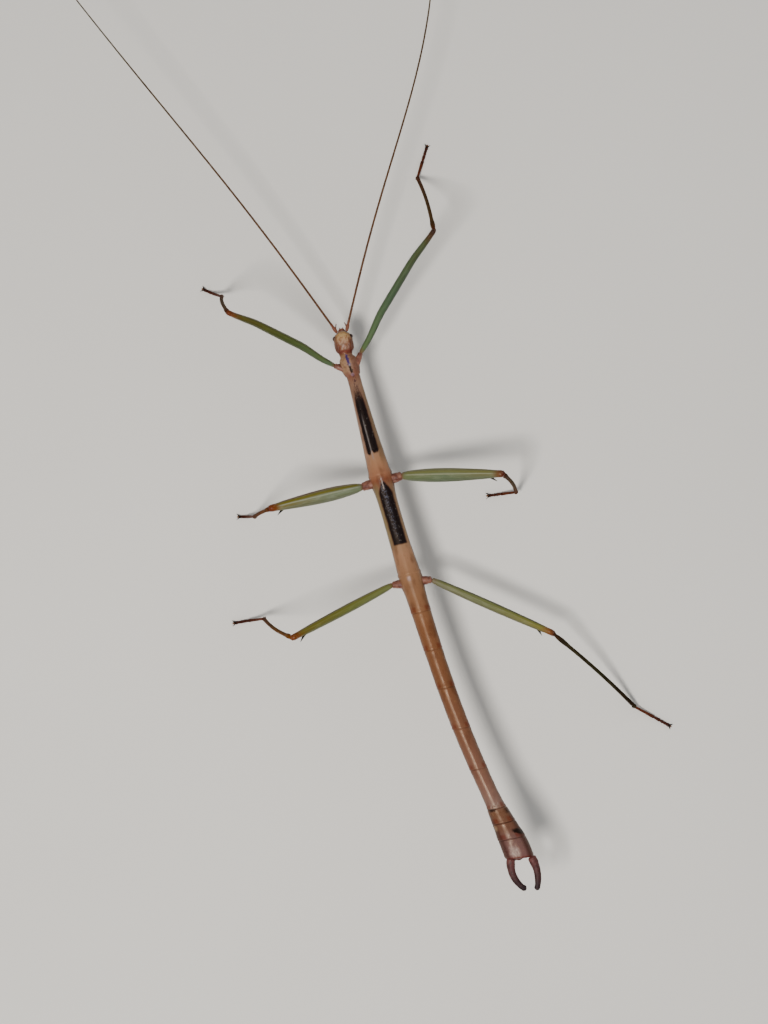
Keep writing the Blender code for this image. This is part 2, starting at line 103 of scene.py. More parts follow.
def softRamp(distance):
    # 0 before the start and rising one for one after it, with a soft corner; then the slope of that.
    reach = np.hypot(distance, axis["neckSoftness"])
    return (distance + reach) / 2, (1 + distance / reach) / 2


def neckStep(station):
    # How far the middle line stands aside round the neck, out and back evenly, and the slope of that.
    out = axis["neckShift"] / axis["neckPlace"]
    back = axis["neckShift"] / (axis["neckEnd"] - axis["neckPlace"])
    turn, turnSlope = softRamp(station - axis["neckPlace"])
    level, levelSlope = softRamp(station - axis["neckEnd"])
    step = out * station - (out + back) * turn + back * level
    return step, out - (out + back) * turnSlope + back * levelSlope


def waistStep(station):
    # How far the hind body swings aside, as the square of a half sine, and the slope of that.
    low, high = axis["waistRange"]
    turn = np.pi * np.clip((station - low) / (high - low), 0, 1)
    slope = axis["waistShift"] * np.sin(2 * turn) * np.pi / (high - low)
    return axis["waistShift"] * np.sin(turn) ** 2, slope


def headingAt(station):
    # The front heading, a change that grows with the square of the distance, and the tail's turn back.
    station = np.asarray(station, float)
    past = np.maximum(station - axis["tailTurnStart"], 0) / (axis["length"] - axis["tailTurnStart"])
    bend = axis["headingChange"] * (station / axis["length"]) ** 2
    plain = np.radians(axis["headingFront"] + bend + axis["tailTurn"] * past)
    return plain + neckStep(station)[1] + waistStep(station)[1]


def axisAt(station):
    # The middle line of the body: the heading summed along its length, on a steady climb.
    station = np.asarray(station, float)
    past = np.maximum(station - axis["tailTurnStart"], 0)
    tailRun = axis["length"] - axis["tailTurnStart"]
    drift = neckStep(station)[0] + waistStep(station)[0] + np.radians(axis["headingFront"]) * station
    drift = drift + np.radians(axis["headingChange"]) * station * (station / axis["length"]) ** 2 / 3
    drift = drift + np.radians(axis["tailTurn"]) * past ** 2 / (2 * tailRun)
    climb = np.radians(axis["pitch"])
    height = axis["frontHeight"] + station * np.sin(climb)
    return np.stack([drift, station * np.cos(climb), height], -1)


def leftAt(station):
    turn = headingAt(station)
    return np.stack([np.cos(turn), -np.sin(turn), np.zeros_like(turn)], -1)


def beside(station, offset, lift=0.0):
    # A point beside the middle line: offset toward the animal's left, lift straight up.
    return axisAt(station) + leftAt(station) * offset + up * lift


eye = {"station": 1.25, "offset": 1.42, "lift": 0.15, "radius": 0.46}
low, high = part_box("eye_left")
shift = (np.array(low) + np.array(high)) / 2 / mm - beside(eye["station"], eye["offset"], eye["lift"])


def capShare(distance, length, front, rear):
    # The share of full width at each ring: a quarter ellipse at either end, 1 between them.
    ahead = np.clip((front - distance) / front, 0, 1)
    behind = np.clip((distance - length + rear) / rear, 0, 1)
    return np.sqrt(1 - ahead ** 2) * np.sqrt(1 - behind ** 2)


def spread(length, front, rear, coarse, places=(), fine=0.05, reach=0.5):
    # Distances of the rings along a shell, and their share of full width. The two round ends step by
    # equal angles; between them the rings stand `coarse` apart and draw in to `fine` within `reach`
    # of each named place.
    quarter = np.linspace(0.08, 1, 9)[:-1] * np.pi / 2
    fineCount = 6001
    run = np.linspace(front, length - rear, fineCount)
    gap = np.full_like(run, coarse)
    for place in places:
        near = np.clip(np.abs(run - place) / reach, 0, 1) ** 2
        gap = np.minimum(gap, fine + (coarse - fine) * near)
    count = np.concatenate([[0], np.cumsum((run[1] - run[0]) / gap[1:])])
    middle = np.interp(np.linspace(0, count[-1], int(count[-1]) + 2), count, run)
    first = front * (1 - np.cos(quarter))
    last = length - rear * (1 - np.cos(quarter[::-1]))
    distance = np.concatenate([first, middle, last])
    return distance, capShare(distance, length, front, rear)


def evenly(width, columns):
    # The same half width all the way round each ring.
    return np.repeat(width[:, None], columns, 1)


def anglesOf(columns):
    # The angles of a ring's points, as a row.
    return (np.arange(columns) + 0.5)[None, :] / columns * 2 * np.pi


def ringShell(rings, lay, tone=0.0):
    # rings is (rows, columns, 3): each row is a closed ring, joined to the next by quads, and both
    # ends close on a pole. lay is what the finish reads: across, along and how far toward the top.
    rows, columns = rings.shape[:2]
    row = np.arange(rows - 1)[:, None] * columns
    column = np.arange(columns)[None, :]
    beyond = (column + 1) % columns
    quads = np.stack([row + column, row + beyond, row + columns + beyond, row + columns + column], -1)
    edge = np.arange(columns)
    last = (rows - 1) * columns
    foot, tip = rows * columns, rows * columns + 1
    front = np.stack([edge * 0 + foot, (edge + 1) % columns, edge], -1)
    rear = np.stack([edge * 0 + tip, last + edge, last + (edge + 1) % columns], -1)
    points = np.concatenate([rings.reshape(-1, 3), rings[:1].mean(1), rings[-1:].mean(1)])
    lay = np.concatenate([lay.reshape(-1, 3), lay[:1].mean(1), lay[-1:].mean(1)])
    shell = {"points": points, "quads": quads.reshape(-1, 4), "tris": np.concatenate([front, rear])}
    shell["lay"] = lay
    shell["tone"] = np.full(len(points), float(tone))
    return outward(shell)


def outward(shell):
    # Adds up the volume under every face, and turns the faces round if the sum is negative.
    points, quads = shell["points"] - shell["points"].mean(0), shell["quads"]
    tris = np.concatenate([shell["tris"], quads[:, [0, 1, 2]], quads[:, [0, 2, 3]]])
    corner = points[tris]
    volume = np.einsum("ij,ij->i", corner[:, 0], np.cross(corner[:, 1], corner[:, 2])).sum()
    if volume < 0:
        shell["quads"] = quads[:, ::-1]
        shell["tris"] = shell["tris"][:, ::-1]
    return shell


def tubeShell(line, radius, above, flat=1.0, mirror=1.0, tone=0.0):
    # A skin carried along a line. radius is (rows, columns); each ring stands square to the line,
    # its first point to one side and a quarter turn on from it the one nearest `above`.
    ahead = unit(np.gradient(line, axis=0))
    over = np.broadcast_to(np.asarray(above, float), line.shape)
    over = unit(over - ahead * (ahead * over).sum(-1, keepdims=True))
    side = np.cross(ahead, over)
    angle = anglesOf(radius.shape[1])
    across, lift = radius * np.cos(angle), radius * flat * np.sin(angle)
    rings = line[:, None] + side[:, None] * across[..., None] + over[:, None] * lift[..., None]
    steps = np.linalg.norm(np.diff(line, axis=0), axis=1)
    along = np.concatenate([[0], np.cumsum(steps)])[:, None] + across * 0
    lay = np.stack([across * mirror, along, np.sin(angle) + across * 0], -1)
    return ringShell(rings, lay, tone)


def ovalShell(middle, ahead, above, size, rows=20, columns=24, power=2.0, tone=0.0):
    # A rounded lump: half length, half width and half height, squarer as the power rises.
    share = -np.cos(np.linspace(0.04, 0.96, rows) * np.pi)
    wide = (1 - np.abs(share) ** power) ** (1 / power)
    line = np.asarray(middle) + np.outer(share * size[0], unit(ahead))
    return tubeShell(line, evenly(wide * size[1], columns), above, flat=size[2] / size[1], tone=tone)


def moved(shell, place):
    # The same shell, with its lay counted from `place` along the limb it sits on.
    shell["lay"] = shell["lay"] + np.array([0.0, place, 0.0])
    return shell


def makePiece(name, shells, finish, slotName, *nodes):
    # Joins the shells into one mesh in the frame's place, gives it its finish and hands it to the frame.
    counts = np.cumsum([0] + [len(shell["points"]) for shell in shells])
    faces = []
    for shell, start in zip(shells, counts):
        faces += (shell["quads"] + start).tolist()
        faces += (shell["tris"] + start).tolist()
    points = np.concatenate([shell["points"] for shell in shells])
    mesh = bpy.data.meshes.new(name)
    mesh.from_pydata(((points + shift) * mm).tolist(), [], faces)
    lay = mesh.attributes.new("lay", "FLOAT_VECTOR", "POINT")
    lay.data.foreach_set("vector", np.concatenate([shell["lay"] for shell in shells]).ravel())
    tone = mesh.attributes.new("tone", "FLOAT", "POINT")
    tone.data.foreach_set("value", np.concatenate([shell["tone"] for shell in shells]))
    mesh.polygons.foreach_set("use_smooth", np.ones(len(mesh.polygons), bool))
    mesh.materials.append(finish)
    mesh.update()
    piece = bpy.data.objects.new(name, mesh)
    bpy.context.scene.collection.objects.link(piece)
    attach(piece, "root")
    if nodes:
        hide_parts(*nodes)


# The finishes, with shader sums written as ordinary expressions.

film = {"gain": 0.47, "richness": 1.12}


class Value:
    # A shader socket that takes part in sums; every sum adds its own Math node.
    def __init__(self, paint, socket):
        self.paint = paint
        self.socket = socket

    def __add__(self, other):
        return self.paint.sums("ADD", self, other)

    def __sub__(self, other):
        return self.paint.sums("SUBTRACT", self, other)

    def __rsub__(self, other):
        return self.paint.sums("SUBTRACT", other, self)

    def __mul__(self, other):
        return self.paint.sums("MULTIPLY", self, other)

    def __truediv__(self, other):
        return self.paint.sums("DIVIDE", self, other)

    def __abs__(self):
        return self.paint.sums("ABSOLUTE", self)

    __radd__ = __add__
    __rmul__ = __mul__


def ink(red, green, blue):
    # A colour given as 0 to 255 on screen, in the linear light that shaders work in, then made richer
    # and deeper by even shares, because the camera's film shows colours paler than they are.
    screen = np.array([red, green, blue]) / 255
    linear = np.where(screen < 0.04045, screen / 12.92, ((screen + 0.055) / 1.055) ** 2.4)
    rich = linear.mean() + (linear - linear.mean()) * film["richness"]
    return (*(np.clip(rich, 0.001, 1) * film["gain"]).tolist(), 1.0)


class Paint:
    # One finish. across and along are in millimetres on the piece; top runs from -1 below to 1 above.
    def __init__(self, name, fixed):
        self.material = bpy.data.materials.new(name)
        self.material.use_nodes = True
        self.tree = self.material.node_tree
        self.shader = self.tree.nodes["Principled BSDF"]
        for socket, value in fixed.items():
            self.shader.inputs[socket].default_value = value
        place = self.node("ShaderNodeTexCoord", result=3)
        self.place = self.node("ShaderNodeVectorMath", {"operation": "SCALE"}, {0: place, 3: 1 / mm})
        lay = self.node("ShaderNodeAttribute", {"attribute_name": "lay"}, result=1)
        self.across, self.along, self.top = (self.node("ShaderNodeSeparateXYZ", {}, {0: lay}, part)
                                             for part in range(3))
        self.tone = self.node("ShaderNodeAttribute", {"attribute_name": "tone"}, result=2)
        self.colour = None

    def node(self, kind, settings=None, sockets=None, result=0):
        # Makes a node, sets it up, and then fills or links its sockets.
        made = self.tree.nodes.new(kind)
        for key, value in (settings or {}).items():
            if key == "stops":
                stops = made.color_ramp.elements
                stops[0].position, stops[0].color = value[0]
                stops[1].position, stops[1].color = value[-1]
                for position, tint in value[1:-1]:
                    stops.new(position).color = tint
            else:
                setattr(made, key, value)
        for key, value in (sockets or {}).items():
            if isinstance(value, Value):
                self.tree.links.new(value.socket, made.inputs[key])
            else:
                made.inputs[key].default_value = value
        return Value(self, made.outputs[result])

    def sums(self, operation, *values):
        return self.node("ShaderNodeMath", {"operation": operation}, dict(enumerate(values)))

    def away(self, first, second):
        # The true distance: the root of the sum of the squares.
        return self.sums("SQRT", first * first + second * second)

    def step(self, value, low, high):
        # 0 below low, 1 above high and a smooth S between them.
        limits = {"Value": value, "From Min": low, "From Max": high}
        return self.node("ShaderNodeMapRange", {"interpolation_type": "SMOOTHSTEP"}, limits)

    def fall(self, value, low, high):
        # 1 below low and 0 above high.
        return 1 - self.step(value, low, high)

    def span(self, value, low, full, fading, high):
        # 0 below low, 1 from full to fading and 0 again above high.
        return self.step(value, low, full) * self.fall(value, fading, high)

    def band(self, value, centre, core, edge):
        # 1 within `core` of the centre, fading to 0 at `edge` from it.
        return self.fall(abs(value - centre), core, edge)

    def noise(self, scale, detail=4.0, stretch=(1.0, 1.0, 1.0), place=None):
        # Grain with `scale` features to the millimetre, mostly between 0.3 and 0.7.
        place = self.node("ShaderNodeMapping", {}, {"Vector": place or self.place, "Scale": stretch})
        return self.node("ShaderNodeTexNoise", {}, {"Vector": place, "Scale": scale, "Detail": detail})

    def grain(self, scale, amount, detail=4.0):
        # The same noise as a swing to both sides of nothing, `amount` from end to end.
        return (self.noise(scale, detail) - 0.5) * amount

    def cells(self, scale):
        # Distance from the nearest of many scattered points.
        return self.node("ShaderNodeTexVoronoi", {}, {"Vector": self.place, "Scale": scale})

    def unrolled(self, acrossScale, alongScale):
        # The piece's own lay as a vector, for grain that runs with the limb.
        parts = {0: self.across * acrossScale, 1: self.along * alongScale, 2: self.top}
        return self.node("ShaderNodeCombineXYZ", {}, parts)

    def blend(self, first, second, share):
        return self.node("ShaderNodeMix", {"data_type": "RGBA"}, {0: share, 6: first, 7: second}, 2)

    def ramp(self, value, rows):
        # Each row is a place from 0 to 1, then red, green and blue.
        stops = [(place, ink(*tint)) for place, *tint in rows]
        return self.node("ShaderNodeValToRGB", {"stops": stops}, {0: value})

    def coat(self, tint, share):
        # Lays a tint over the colour so far, by that share.
        self.colour = self.blend(self.colour, ink(*tint), share)

    def done(self, roughness=None, height=None):
        # Links what varies: the colour, the roughness and a bump whose height is in millimetres.
        self.tree.links.new(self.colour.socket, self.shader.inputs["Base Color"])
        if roughness is not None:
            self.tree.links.new(roughness.socket, self.shader.inputs["Roughness"])
        if height is not None:
            normal = self.node("ShaderNodeBump", {}, {"Height": height, "Distance": mm, "Strength": 1.0})
            self.tree.links.new(normal.socket, self.shader.inputs["Normal"])
        return self.material


# The body: one skin from the mouth to the end of the tenth segment.

body = {
    "columns": 104,
    "headLength": 4.4,
    "headHalfWidth": 1.72,
    "headDepth": 0.84,
    # its width at the mouth, at the eyes and at the neck, then the nip behind the mouth
    "headForm": (0.86, 1.0, 0.90),
    "headNip": 0.10,
    "neckHalfWidth": 1.34,
    "neckFrom": 3.2,
    "neckSeam": 4.42,
    "neckUntil": 5.4,
    # name, length, half widths at front, middle and rear, depth to width
    "segments": (
        ("prothorax", 4.0, 1.42, 1.55, 1.32, 0.86),
        ("mesothorax", 18.8, 1.14, 1.48, 2.05, 0.90),
        ("metathorax", 18.7, 1.95, 1.73, 2.08, 0.92),
        ("abdomen_1", 7.0, 1.98, 1.84, 1.79, 0.92),
        ("abdomen_2", 7.1, 1.76, 1.69, 1.66, 0.92),
        ("abdomen_3", 7.15, 1.64, 1.60, 1.62, 0.92),
        ("abdomen_4", 7.7, 1.61, 1.57, 1.59, 0.92),
        ("abdomen_5", 7.8, 1.57, 1.52, 1.54, 0.92),
        ("abdomen_6", 7.6, 1.52, 1.47, 1.62, 0.92),
        ("abdomen_7", 2.8, 1.70, 1.86, 1.98, 0.90),
        ("abdomen_8", 3.1, 2.00, 2.16, 2.34, 0.86),
        ("abdomen_9_10", 3.85, 2.35, 2.50, 2.44, 0.76),
    ),
    "tenthStart": 98.05,
    # up to a station: the depth of the grooves at the seams and the height of the lip before them
    "seamForms": ((89, 0.035, 0.014), (97, 0.055, 0.050), (100, 0.020, 0.010)),
    "wrinkledFrom": 45,
    "frontRound": 1.5,
    "endRound": 0.24,
    "fineUntil": 4.6,
    "fineStep": 0.062,
}
seams = body["headLength"] + np.cumsum([0.0] + [entry[1] for entry in body["segments"]])
# the swelling round each pair of hips: station, height and length
hips = {"Front": (6.6, 0.22, 1.1), "Mid": (28.3, 0.30, 1.5), "Hind": (47.3, 0.26, 1.4)}


def through(front, middle, rear, share):
    # The parabola through three values, at the start, the middle and the end.
    ends = front * (1 - share) * (1 - 2 * share) + rear * share * (2 * share - 1)
    return ends + middle * 4 * share * (1 - share)


def trunkWidth(station):
    # Half width and depth ratio of the plain trunk: in each segment a parabola through its three
    # widths, worked out on a fine even run and blurred so that the steps between segments are soft.
    fine = 0.02
    run = np.arange(0, axis["length"] + fine, fine)
    width = np.full_like(run, body["headHalfWidth"])
    ratio = np.full_like(run, body["headDepth"])
    share = run / body["headLength"]
    width *= through(*body["headForm"], share)
    width -= body["headNip"] * bell(run, 0.9, 0.9) * (run < body["headLength"])
    for (_, length, front, middle, rear, depth), start in zip(body["segments"], seams):
        width = np.where(run >= start, through(front, middle, rear, (run - start) / length), width)
        ratio = np.where(run >= start, depth, ratio)
    result = []
    for values, reach, soft in ((width, 0.6, 0.14), (ratio, 1.6, 0.7)):
        blur = bell(np.arange(-reach, reach + 0.01, fine), 0, soft)
        blurred = np.convolve(np.pad(values, len(blur) // 2, "edge"), blur / blur.sum(), "valid")
        result.append(np.interp(station, run, blurred))
    return result


def neckShare(station):
    # The head draws in to the neck and the first ring of the thorax swells out again behind it.
    neck = body["neckHalfWidth"] / body["headHalfWidth"]
    drawnIn = np.clip((station - body["neckFrom"]) / 1.2, 0, 1)
    swelling = np.clip(body["neckUntil"] - station, 0, 1)
    back = np.sqrt(np.clip(1 - drawnIn ** 2.2, 0, 1))
    fore = np.sqrt(np.clip(1 - swelling ** 2, 0, 1))
    onHead = station < body["neckSeam"]
    return np.maximum(np.where(onHead, back, fore), np.where(onHead, neck, neck * 1.04))


def seamRelief(station, flank):
    # At every seam a groove, a lip before it and a lower one behind; wrinkles ahead of the rear ones.
    relief = 0 * station
    for seam in [*seams[1:-1], body["tenthStart"]]:
        depth, lip = next(form[1:] for form in body["seamForms"] if seam < form[0])
        relief = relief - depth * bell(station, seam + 0.05, 0.10) + lip * bell(station, seam - 0.26, 0.22)
        relief = relief + 0.008 * bell(station, seam + 0.36, 0.20)
        if seam > body["wrinkledFrom"]:
            wrinkle = np.sin(2 * np.pi * (station - seam) / 0.27) * bell(station, seam - 0.75, 0.40)
            relief = relief + 0.007 * wrinkle * rise(flank, 0.2, 1.0)
    return relief


def trunkRelief(station, turn):
    # Everything raised on or sunk into the plain trunk, in millimetres. turn is the angle from the
    # middle of the back, so flank is 0 on the back, a quarter turn at the side and half below.
    flank = np.abs(turn)
    relief = seamRelief(station, flank) + 0 * flank
    shield = between(station, 4.5, 4.7, 8.1, 8.4)
    # Ridges and furrows that run along the body: height, angle from the middle of the back, width.
    runs = (
        # the keel along the back, a ridge at each shoulder and one above the side
        (between(station, 8.2, 10.0, 43, 46.5),
         ((0.045, 0, 0.085), (0.05, 0, 0.5), (0.030, 1.12, 0.10), (-0.02, 0.86, 0.20))),
        # the same keel, lower, on the hind body
        (between(station, 45.5, 48, 97, 99), ((0.012, 0, 0.085),)),
        # the fold between back and belly plates, and a furrow down the middle of the belly
        (between(station, 4.9, 5.6, 96, 99),
         ((-0.085, 1.86, 0.085), (0.04, 1.66, 0.12), (0.03, 2.04, 0.10), (-0.03, np.pi, 0.12))),
        # the shield of the first ring: a furrow down its middle between raised edges
        (shield, ((-0.06, 0, 0.10), (0.05, 1.22, 0.14))),
        # the last segment: a furrow down its middle
        (rise(station, 96.4, 97.4), ((-0.09, 0, 0.16),)),
    )
    for share, ridges in runs:
        for height, place, wide in ridges:
            relief += height * share * bell(flank, place, wide)
    # Swellings of the side plates round the hips.
    for place, height, length in hips.values():
        relief += height * bell(station, place, length) * bell(flank, 1.78, 0.42)
        relief -= 0.07 * bell(station, place - 1.5 * length, 0.16) * bell(flank, 1.75, 0.5)
    # The shield's collar, the groove behind it, its curved cross furrow and a low boss on each side.
    over = 1 - rise(flank, 1.15, 1.45)
    relief += (0.02 * bell(station, 5.00, 0.20) - 0.015 * bell(station, 5.35, 0.18)) * over
    relief -= 0.05 * bell(station, 6.25 + 0.25 * flank ** 2, 0.18) * over * rise(flank, 0.05, 0.3)
    relief += 0.035 * shield * bell(flank, 0.5, 0.22) * bell(station, 7.2, 0.6)
    # The last segment: a lip along its hind edge and a swelling at each front corner.
    relief += 0.06 * bell(station, 99.35, 0.22) + 0.10 * bell(station, 95.3, 0.7) * bell(flank, 1.45, 0.30)
    # Slow unevenness, as in anything grown.
    wave = np.sin(0.9 * station + 2 * np.sin(2 * turn)) + np.sin(2.3 * station + 3 * np.cos(turn))
    return relief + 0.008 * wave * rise(station, 5, 9)


def headRelief(points, station, turn):
    # Worked out from how far each point of the plain head is from the eyes and the feeler sockets.
    flank = np.abs(turn)
    relief = 0 * station + 0 * turn
    for sideName, sign in signs.items():
        # for each centre: the height, distance and width of its rim, then the depth and width of its hollow
        for centre, rim, place, wide, hollow, reach in (
                (beside(eye["station"], sign * eye["offset"], eye["lift"]), 0.10, 0.55, 0.10, 0.20, 0.36),
                (feelerAt(sideName, 0.12), 0.16, 0.58, 0.13, 0.30, 0.34)):
            away = np.linalg.norm(points - centre, axis=-1)
            relief += rim * bell(away, place, wide) - hollow * bell(away, 0.0, reach)
    crown = between(station, 1.5, 2.3, 3.7, 4.1)
    temple = between(station, 1.7, 2.2, 3.5, 4.0)
    relief += crown * (0.05 * bell(flank, 0.42, 0.30) - 0.035 * bell(turn, 0, 0.045))
    relief += 0.05 * temple * bell(flank, 1.30, 0.10)
    relief -= 0.05 * bell(station, 1.75 - 1.0 * flank, 0.07) * (1 - rise(flank, 0.6, 0.9))
    relief += 0.05 * bell(station, 1.15, 0.35) * bell(turn, 0, 0.35)
    relief -= 0.04 * bell(station, 3.62 + 0.3 * np.cos(turn), 0.07)
    return relief + 0.10 * bell(station, 2.6, 1.1) * bell(flank, 2.1, 0.5)


def bodyShell():
    places = list(seams) + [body["tenthStart"], 6.3]
    front, back, until = body["frontRound"], body["endRound"], body["fineUntil"]
    station, _ = spread(axis["length"], front, back, 0.24, places, 0.045, 1.0)
    dense = np.arange(front, until, body["fineStep"])
    station = np.sort(np.concatenate([station[station < front], dense, station[station > until]]))
    angle = anglesOf(body["columns"])
    turn = wrapped(np.pi / 2 - angle)
    width, ratio = trunkWidth(station)
    width = width * capShare(station, axis["length"], front, back) * neckShare(station)
    run = station[:, None]
    line = axisAt(station)
    ahead = unit(np.gradient(line, axis=0))
    side = leftAt(station)
    over = np.cross(side, ahead)
    # The lower half of the head is fuller in front, and the belly is a little flatter than the back.
    below = np.clip(-np.sin(angle), 0, 1)
    squash = 1 + below * (0.16 * bell(run, 1.0, 1.0) - 0.05 * rise(run, 8, 12))

    def placed(radius):
        across = radius * np.cos(angle)
        lift = radius * ratio[:, None] * squash * np.sin(angle)
        return line[:, None] + side[:, None] * across[..., None] + over[:, None] * lift[..., None]

    plain = width[:, None] + 0 * angle
    relief = trunkRelief(run, turn)
    relief = relief + headRelief(placed(plain), run, turn) * (1 - rise(run, 4.1, 4.5))
    # where the skin closes to a point at either end the relief fades with the width
    radius = plain + relief * np.clip(width[:, None] / 0.9, 0, 1)
    # Toward the tail the rings slant: each point slides along by its distance aside.
    share = np.clip((run - axis["skewFrom"]) / (axis["skewFull"] - axis["skewFrom"]), 0, 1)
    slide = -radius * np.cos(angle) * np.tan(np.radians(axis["tailSkew"] * share))
    rings = placed(radius) + ahead[:, None] * slide[..., None]
    lay = np.stack([radius * np.cos(angle), run + 0 * angle, np.sin(angle) + 0 * run], -1)
    return ringShell(rings, lay)


feeler = {
    "firstJoint": 1.38,
    "baseLength": 2.1,
    "length": 86.93,
    "rounds": (0.15, 0.35),
    "offset": 0.85,
    "lift": 8.0,
    "sag": 4.5,
    # heading off straight ahead toward the left, then a single and a double bend across it
    "left": (19.5, 0.5, -0.3),
    "right": (-28.7, -4.2, -1.3),
    "jointFirst": 0.45,
    "jointGrowth": 1.018,
    "radii": (0.215, 0.15, 0.085),
}


def feelerAt(sideName, distance):
    # A point of a feeler: straight out at its heading, bent a little, rising and then sagging.
    distance = np.asarray(distance, float)
    sign = signs[sideName]
    turn, bow, sway = feeler[sideName]
    turn = np.radians(turn)
    share = distance / feeler["length"]
    bend = sign * (sway * np.sin(2 * np.pi * share) - bow * np.sin(np.pi * share))
    climb = distance * np.tan(np.radians(feeler["lift"])) - feeler["sag"] * share ** 2
    ahead = np.array([np.sin(turn), -np.cos(turn), 0.0])
    over = np.array([np.cos(turn), np.sin(turn), 0.0])
    foot = beside(0.25, sign * feeler["offset"], 0.35)
    return foot + distance[..., None] * ahead + bend[..., None] * over + climb[..., None] * up


def feelerShell(sideName):
    # A long first joint, a short second one, then a thread of rings that lengthen outward.
    joints = [0.0, feeler["firstJoint"], feeler["baseLength"]]
    step = feeler["jointFirst"]
    while joints[-1] + step < feeler["length"] - 0.3:
        joints.append(joints[-1] + step)
        step *= feeler["jointGrowth"]
    joints = np.array(joints)
    distance, cap = spread(feeler["length"], *feeler["rounds"], 0.5, joints[1:], 0.06, 0.30)
    near = np.searchsorted(joints, distance).clip(1, len(joints) - 1)
    nearest = np.minimum(np.abs(distance - joints[near]), np.abs(distance - joints[near - 1]))
    thread = np.interp(distance / feeler["length"], [0, 0.65, 1], feeler["radii"])
    ringed = thread * (1 + 0.07 * bell(nearest, 0.10, 0.06) - 0.16 * bell(nearest, 0, 0.045))
    scape = 0.23 + 0.08 * rise(distance, 0.0, 0.5) - 0.05 * rise(distance, 0.9, 1.35)
    pedicel = 0.23 + 0.03 * bell(distance, 1.75, 0.22)
    base = np.where(distance < feeler["firstJoint"], scape, pedicel) * (1 - 0.22 * bell(nearest, 0, 0.07))
    radius = np.where(distance < feeler["baseLength"], base, ringed) * cap
    angle = anglesOf(18)
    flat = 1 + 0.10 * (1 - rise(distance, 1.2, 1.5))[:, None] * np.cos(angle) ** 2
    return tubeShell(feelerAt(sideName, distance), radius[:, None] * flat, up)


def headCoats(paint, cloud):
    # A red-brown bar behind each eye, a pale spot on the crown, and painted shade on the lower sides.
    across, along, top = paint.across, paint.along, paint.top
    coat, step, fall, band = paint.coat, paint.step, paint.fall, paint.band
    onHead = fall(along, 4.0, 4.4)
    bar = band(abs(across), 1.12, 0.10, 0.38) * step(along, 1.5, 2.4) * onHead * step(top, 0.0, 0.3)
    streak = paint.noise(1.0, place=paint.unrolled(2.6, 0.8))
    coat((104, 44, 36), bar * (0.35 + 0.5 * step(streak, 0.40, 0.60)))
    paler = step(streak, 0.54, 0.70) * onHead * step(along, 1.6, 2.4) * step(top, 0.1, 0.5)
    coat((226, 184, 164), paler * 0.5)
    spotAway = paint.away(across - 0.05, along - 3.05)
    onTop = onHead * step(top, 0, 0.5)
    spotAway = spotAway + paint.grain(2.4, 0.35, 3.0)
    coat((126, 112, 92), band(spotAway, 0.52, 0.04, 0.26) * onTop * 0.42)
    coat((236, 200, 188), fall(spotAway, 0.12, 0.48) * onTop * 0.8)
    # Painted highlight: small pale sparkles on the front of the head, where it catches the light.
    paintedGlint = step(paint.noise(6.0), 0.60, 0.68) * band(along, 0.8, 0.3, 1.0) * onTop
    coat((255, 236, 190), paintedGlint * 0.6)
    furrow = paint.noise(1.5, 5.0, place=paint.unrolled(1.7, 0.45))
    furrows = step(furrow, 0.50, 0.64) * step(along, 1.0, 2.0) * onTop
    coat((108, 46, 38), furrows * step(abs(across), 0.15, 0.6) * 0.75)
    blotch = step(paint.noise(2.6, 5.0), 0.47, 0.62) * onTop * step(along, 0.3, 0.8)
    coat((164, 92, 54), blotch * 0.6)
    hindRim = band(along + (cloud - 0.5) * 0.6, 4.05, 0.15, 0.6) * onTop
    coat((132, 46, 42), hindRim * 0.55)
    # Lower head sides: partly their own red-brown, partly painted shade where they turn from the light.
    shadedCheek = fall(top + (cloud - 0.5) * 0.5, 0.45, 0.92) * onHead
    coat((108, 54, 42), shadedCheek * 0.7)
    underHead = fall(top, -0.5, 0.0) * onHead
    coat((176, 120, 92), underHead * 0.6)


def shieldCoats(paint, upper, ragged, torn):
    # The line down the shield: violet in front, black behind, then a pale nick.
    across, along = paint.across, paint.along
    coat, step, fall, band = paint.coat, paint.step, paint.fall, paint.band
    # Painted light and shade: the shield is paler on the lit left side and darker on the right.
    litLeftSide = step(across, 0.0, 0.5) * band(along, 6.0, 1.2, 2.2)
    coat((210, 168, 122), litLeftSide * upper * 0.4)
    shadedRightSide = fall(across, -0.7, -0.2) * band(along, 6.4, 1.4, 2.4)
    coat((140, 88, 74), shadedRightSide * upper * 0.6)
    mottle = step(paint.noise(2.2, 5.0), 0.48, 0.62) * band(along, 6.4, 1.2, 2.2) * upper
    coat((138, 84, 62), mottle * 0.45)
    violet = band(across + ragged + torn * 0.5, 0.02, 0.13, 0.32) * band(along + torn, 5.5, 0.9, 1.3)
    coat((74, 58, 132), violet * upper * 0.9)
    nick = fall(paint.away((across + torn * 0.5) * 1.5, along + torn * 0.4 - 6.55), 0.08, 0.36)
    coat((196, 198, 216), nick * upper * 0.65)
    dark = band(across + ragged + torn * 0.5, 0.0, 0.16, 0.38) * band(along + torn * 0.6, 7.4, 0.5, 0.9)
    coat((30, 18, 20), dark * upper * 0.95)
    lilac = fall(paint.away(across + torn * 0.4, along - 8.35), 0.15, 0.45)
    coat((176, 148, 178), lilac * upper * 0.5)


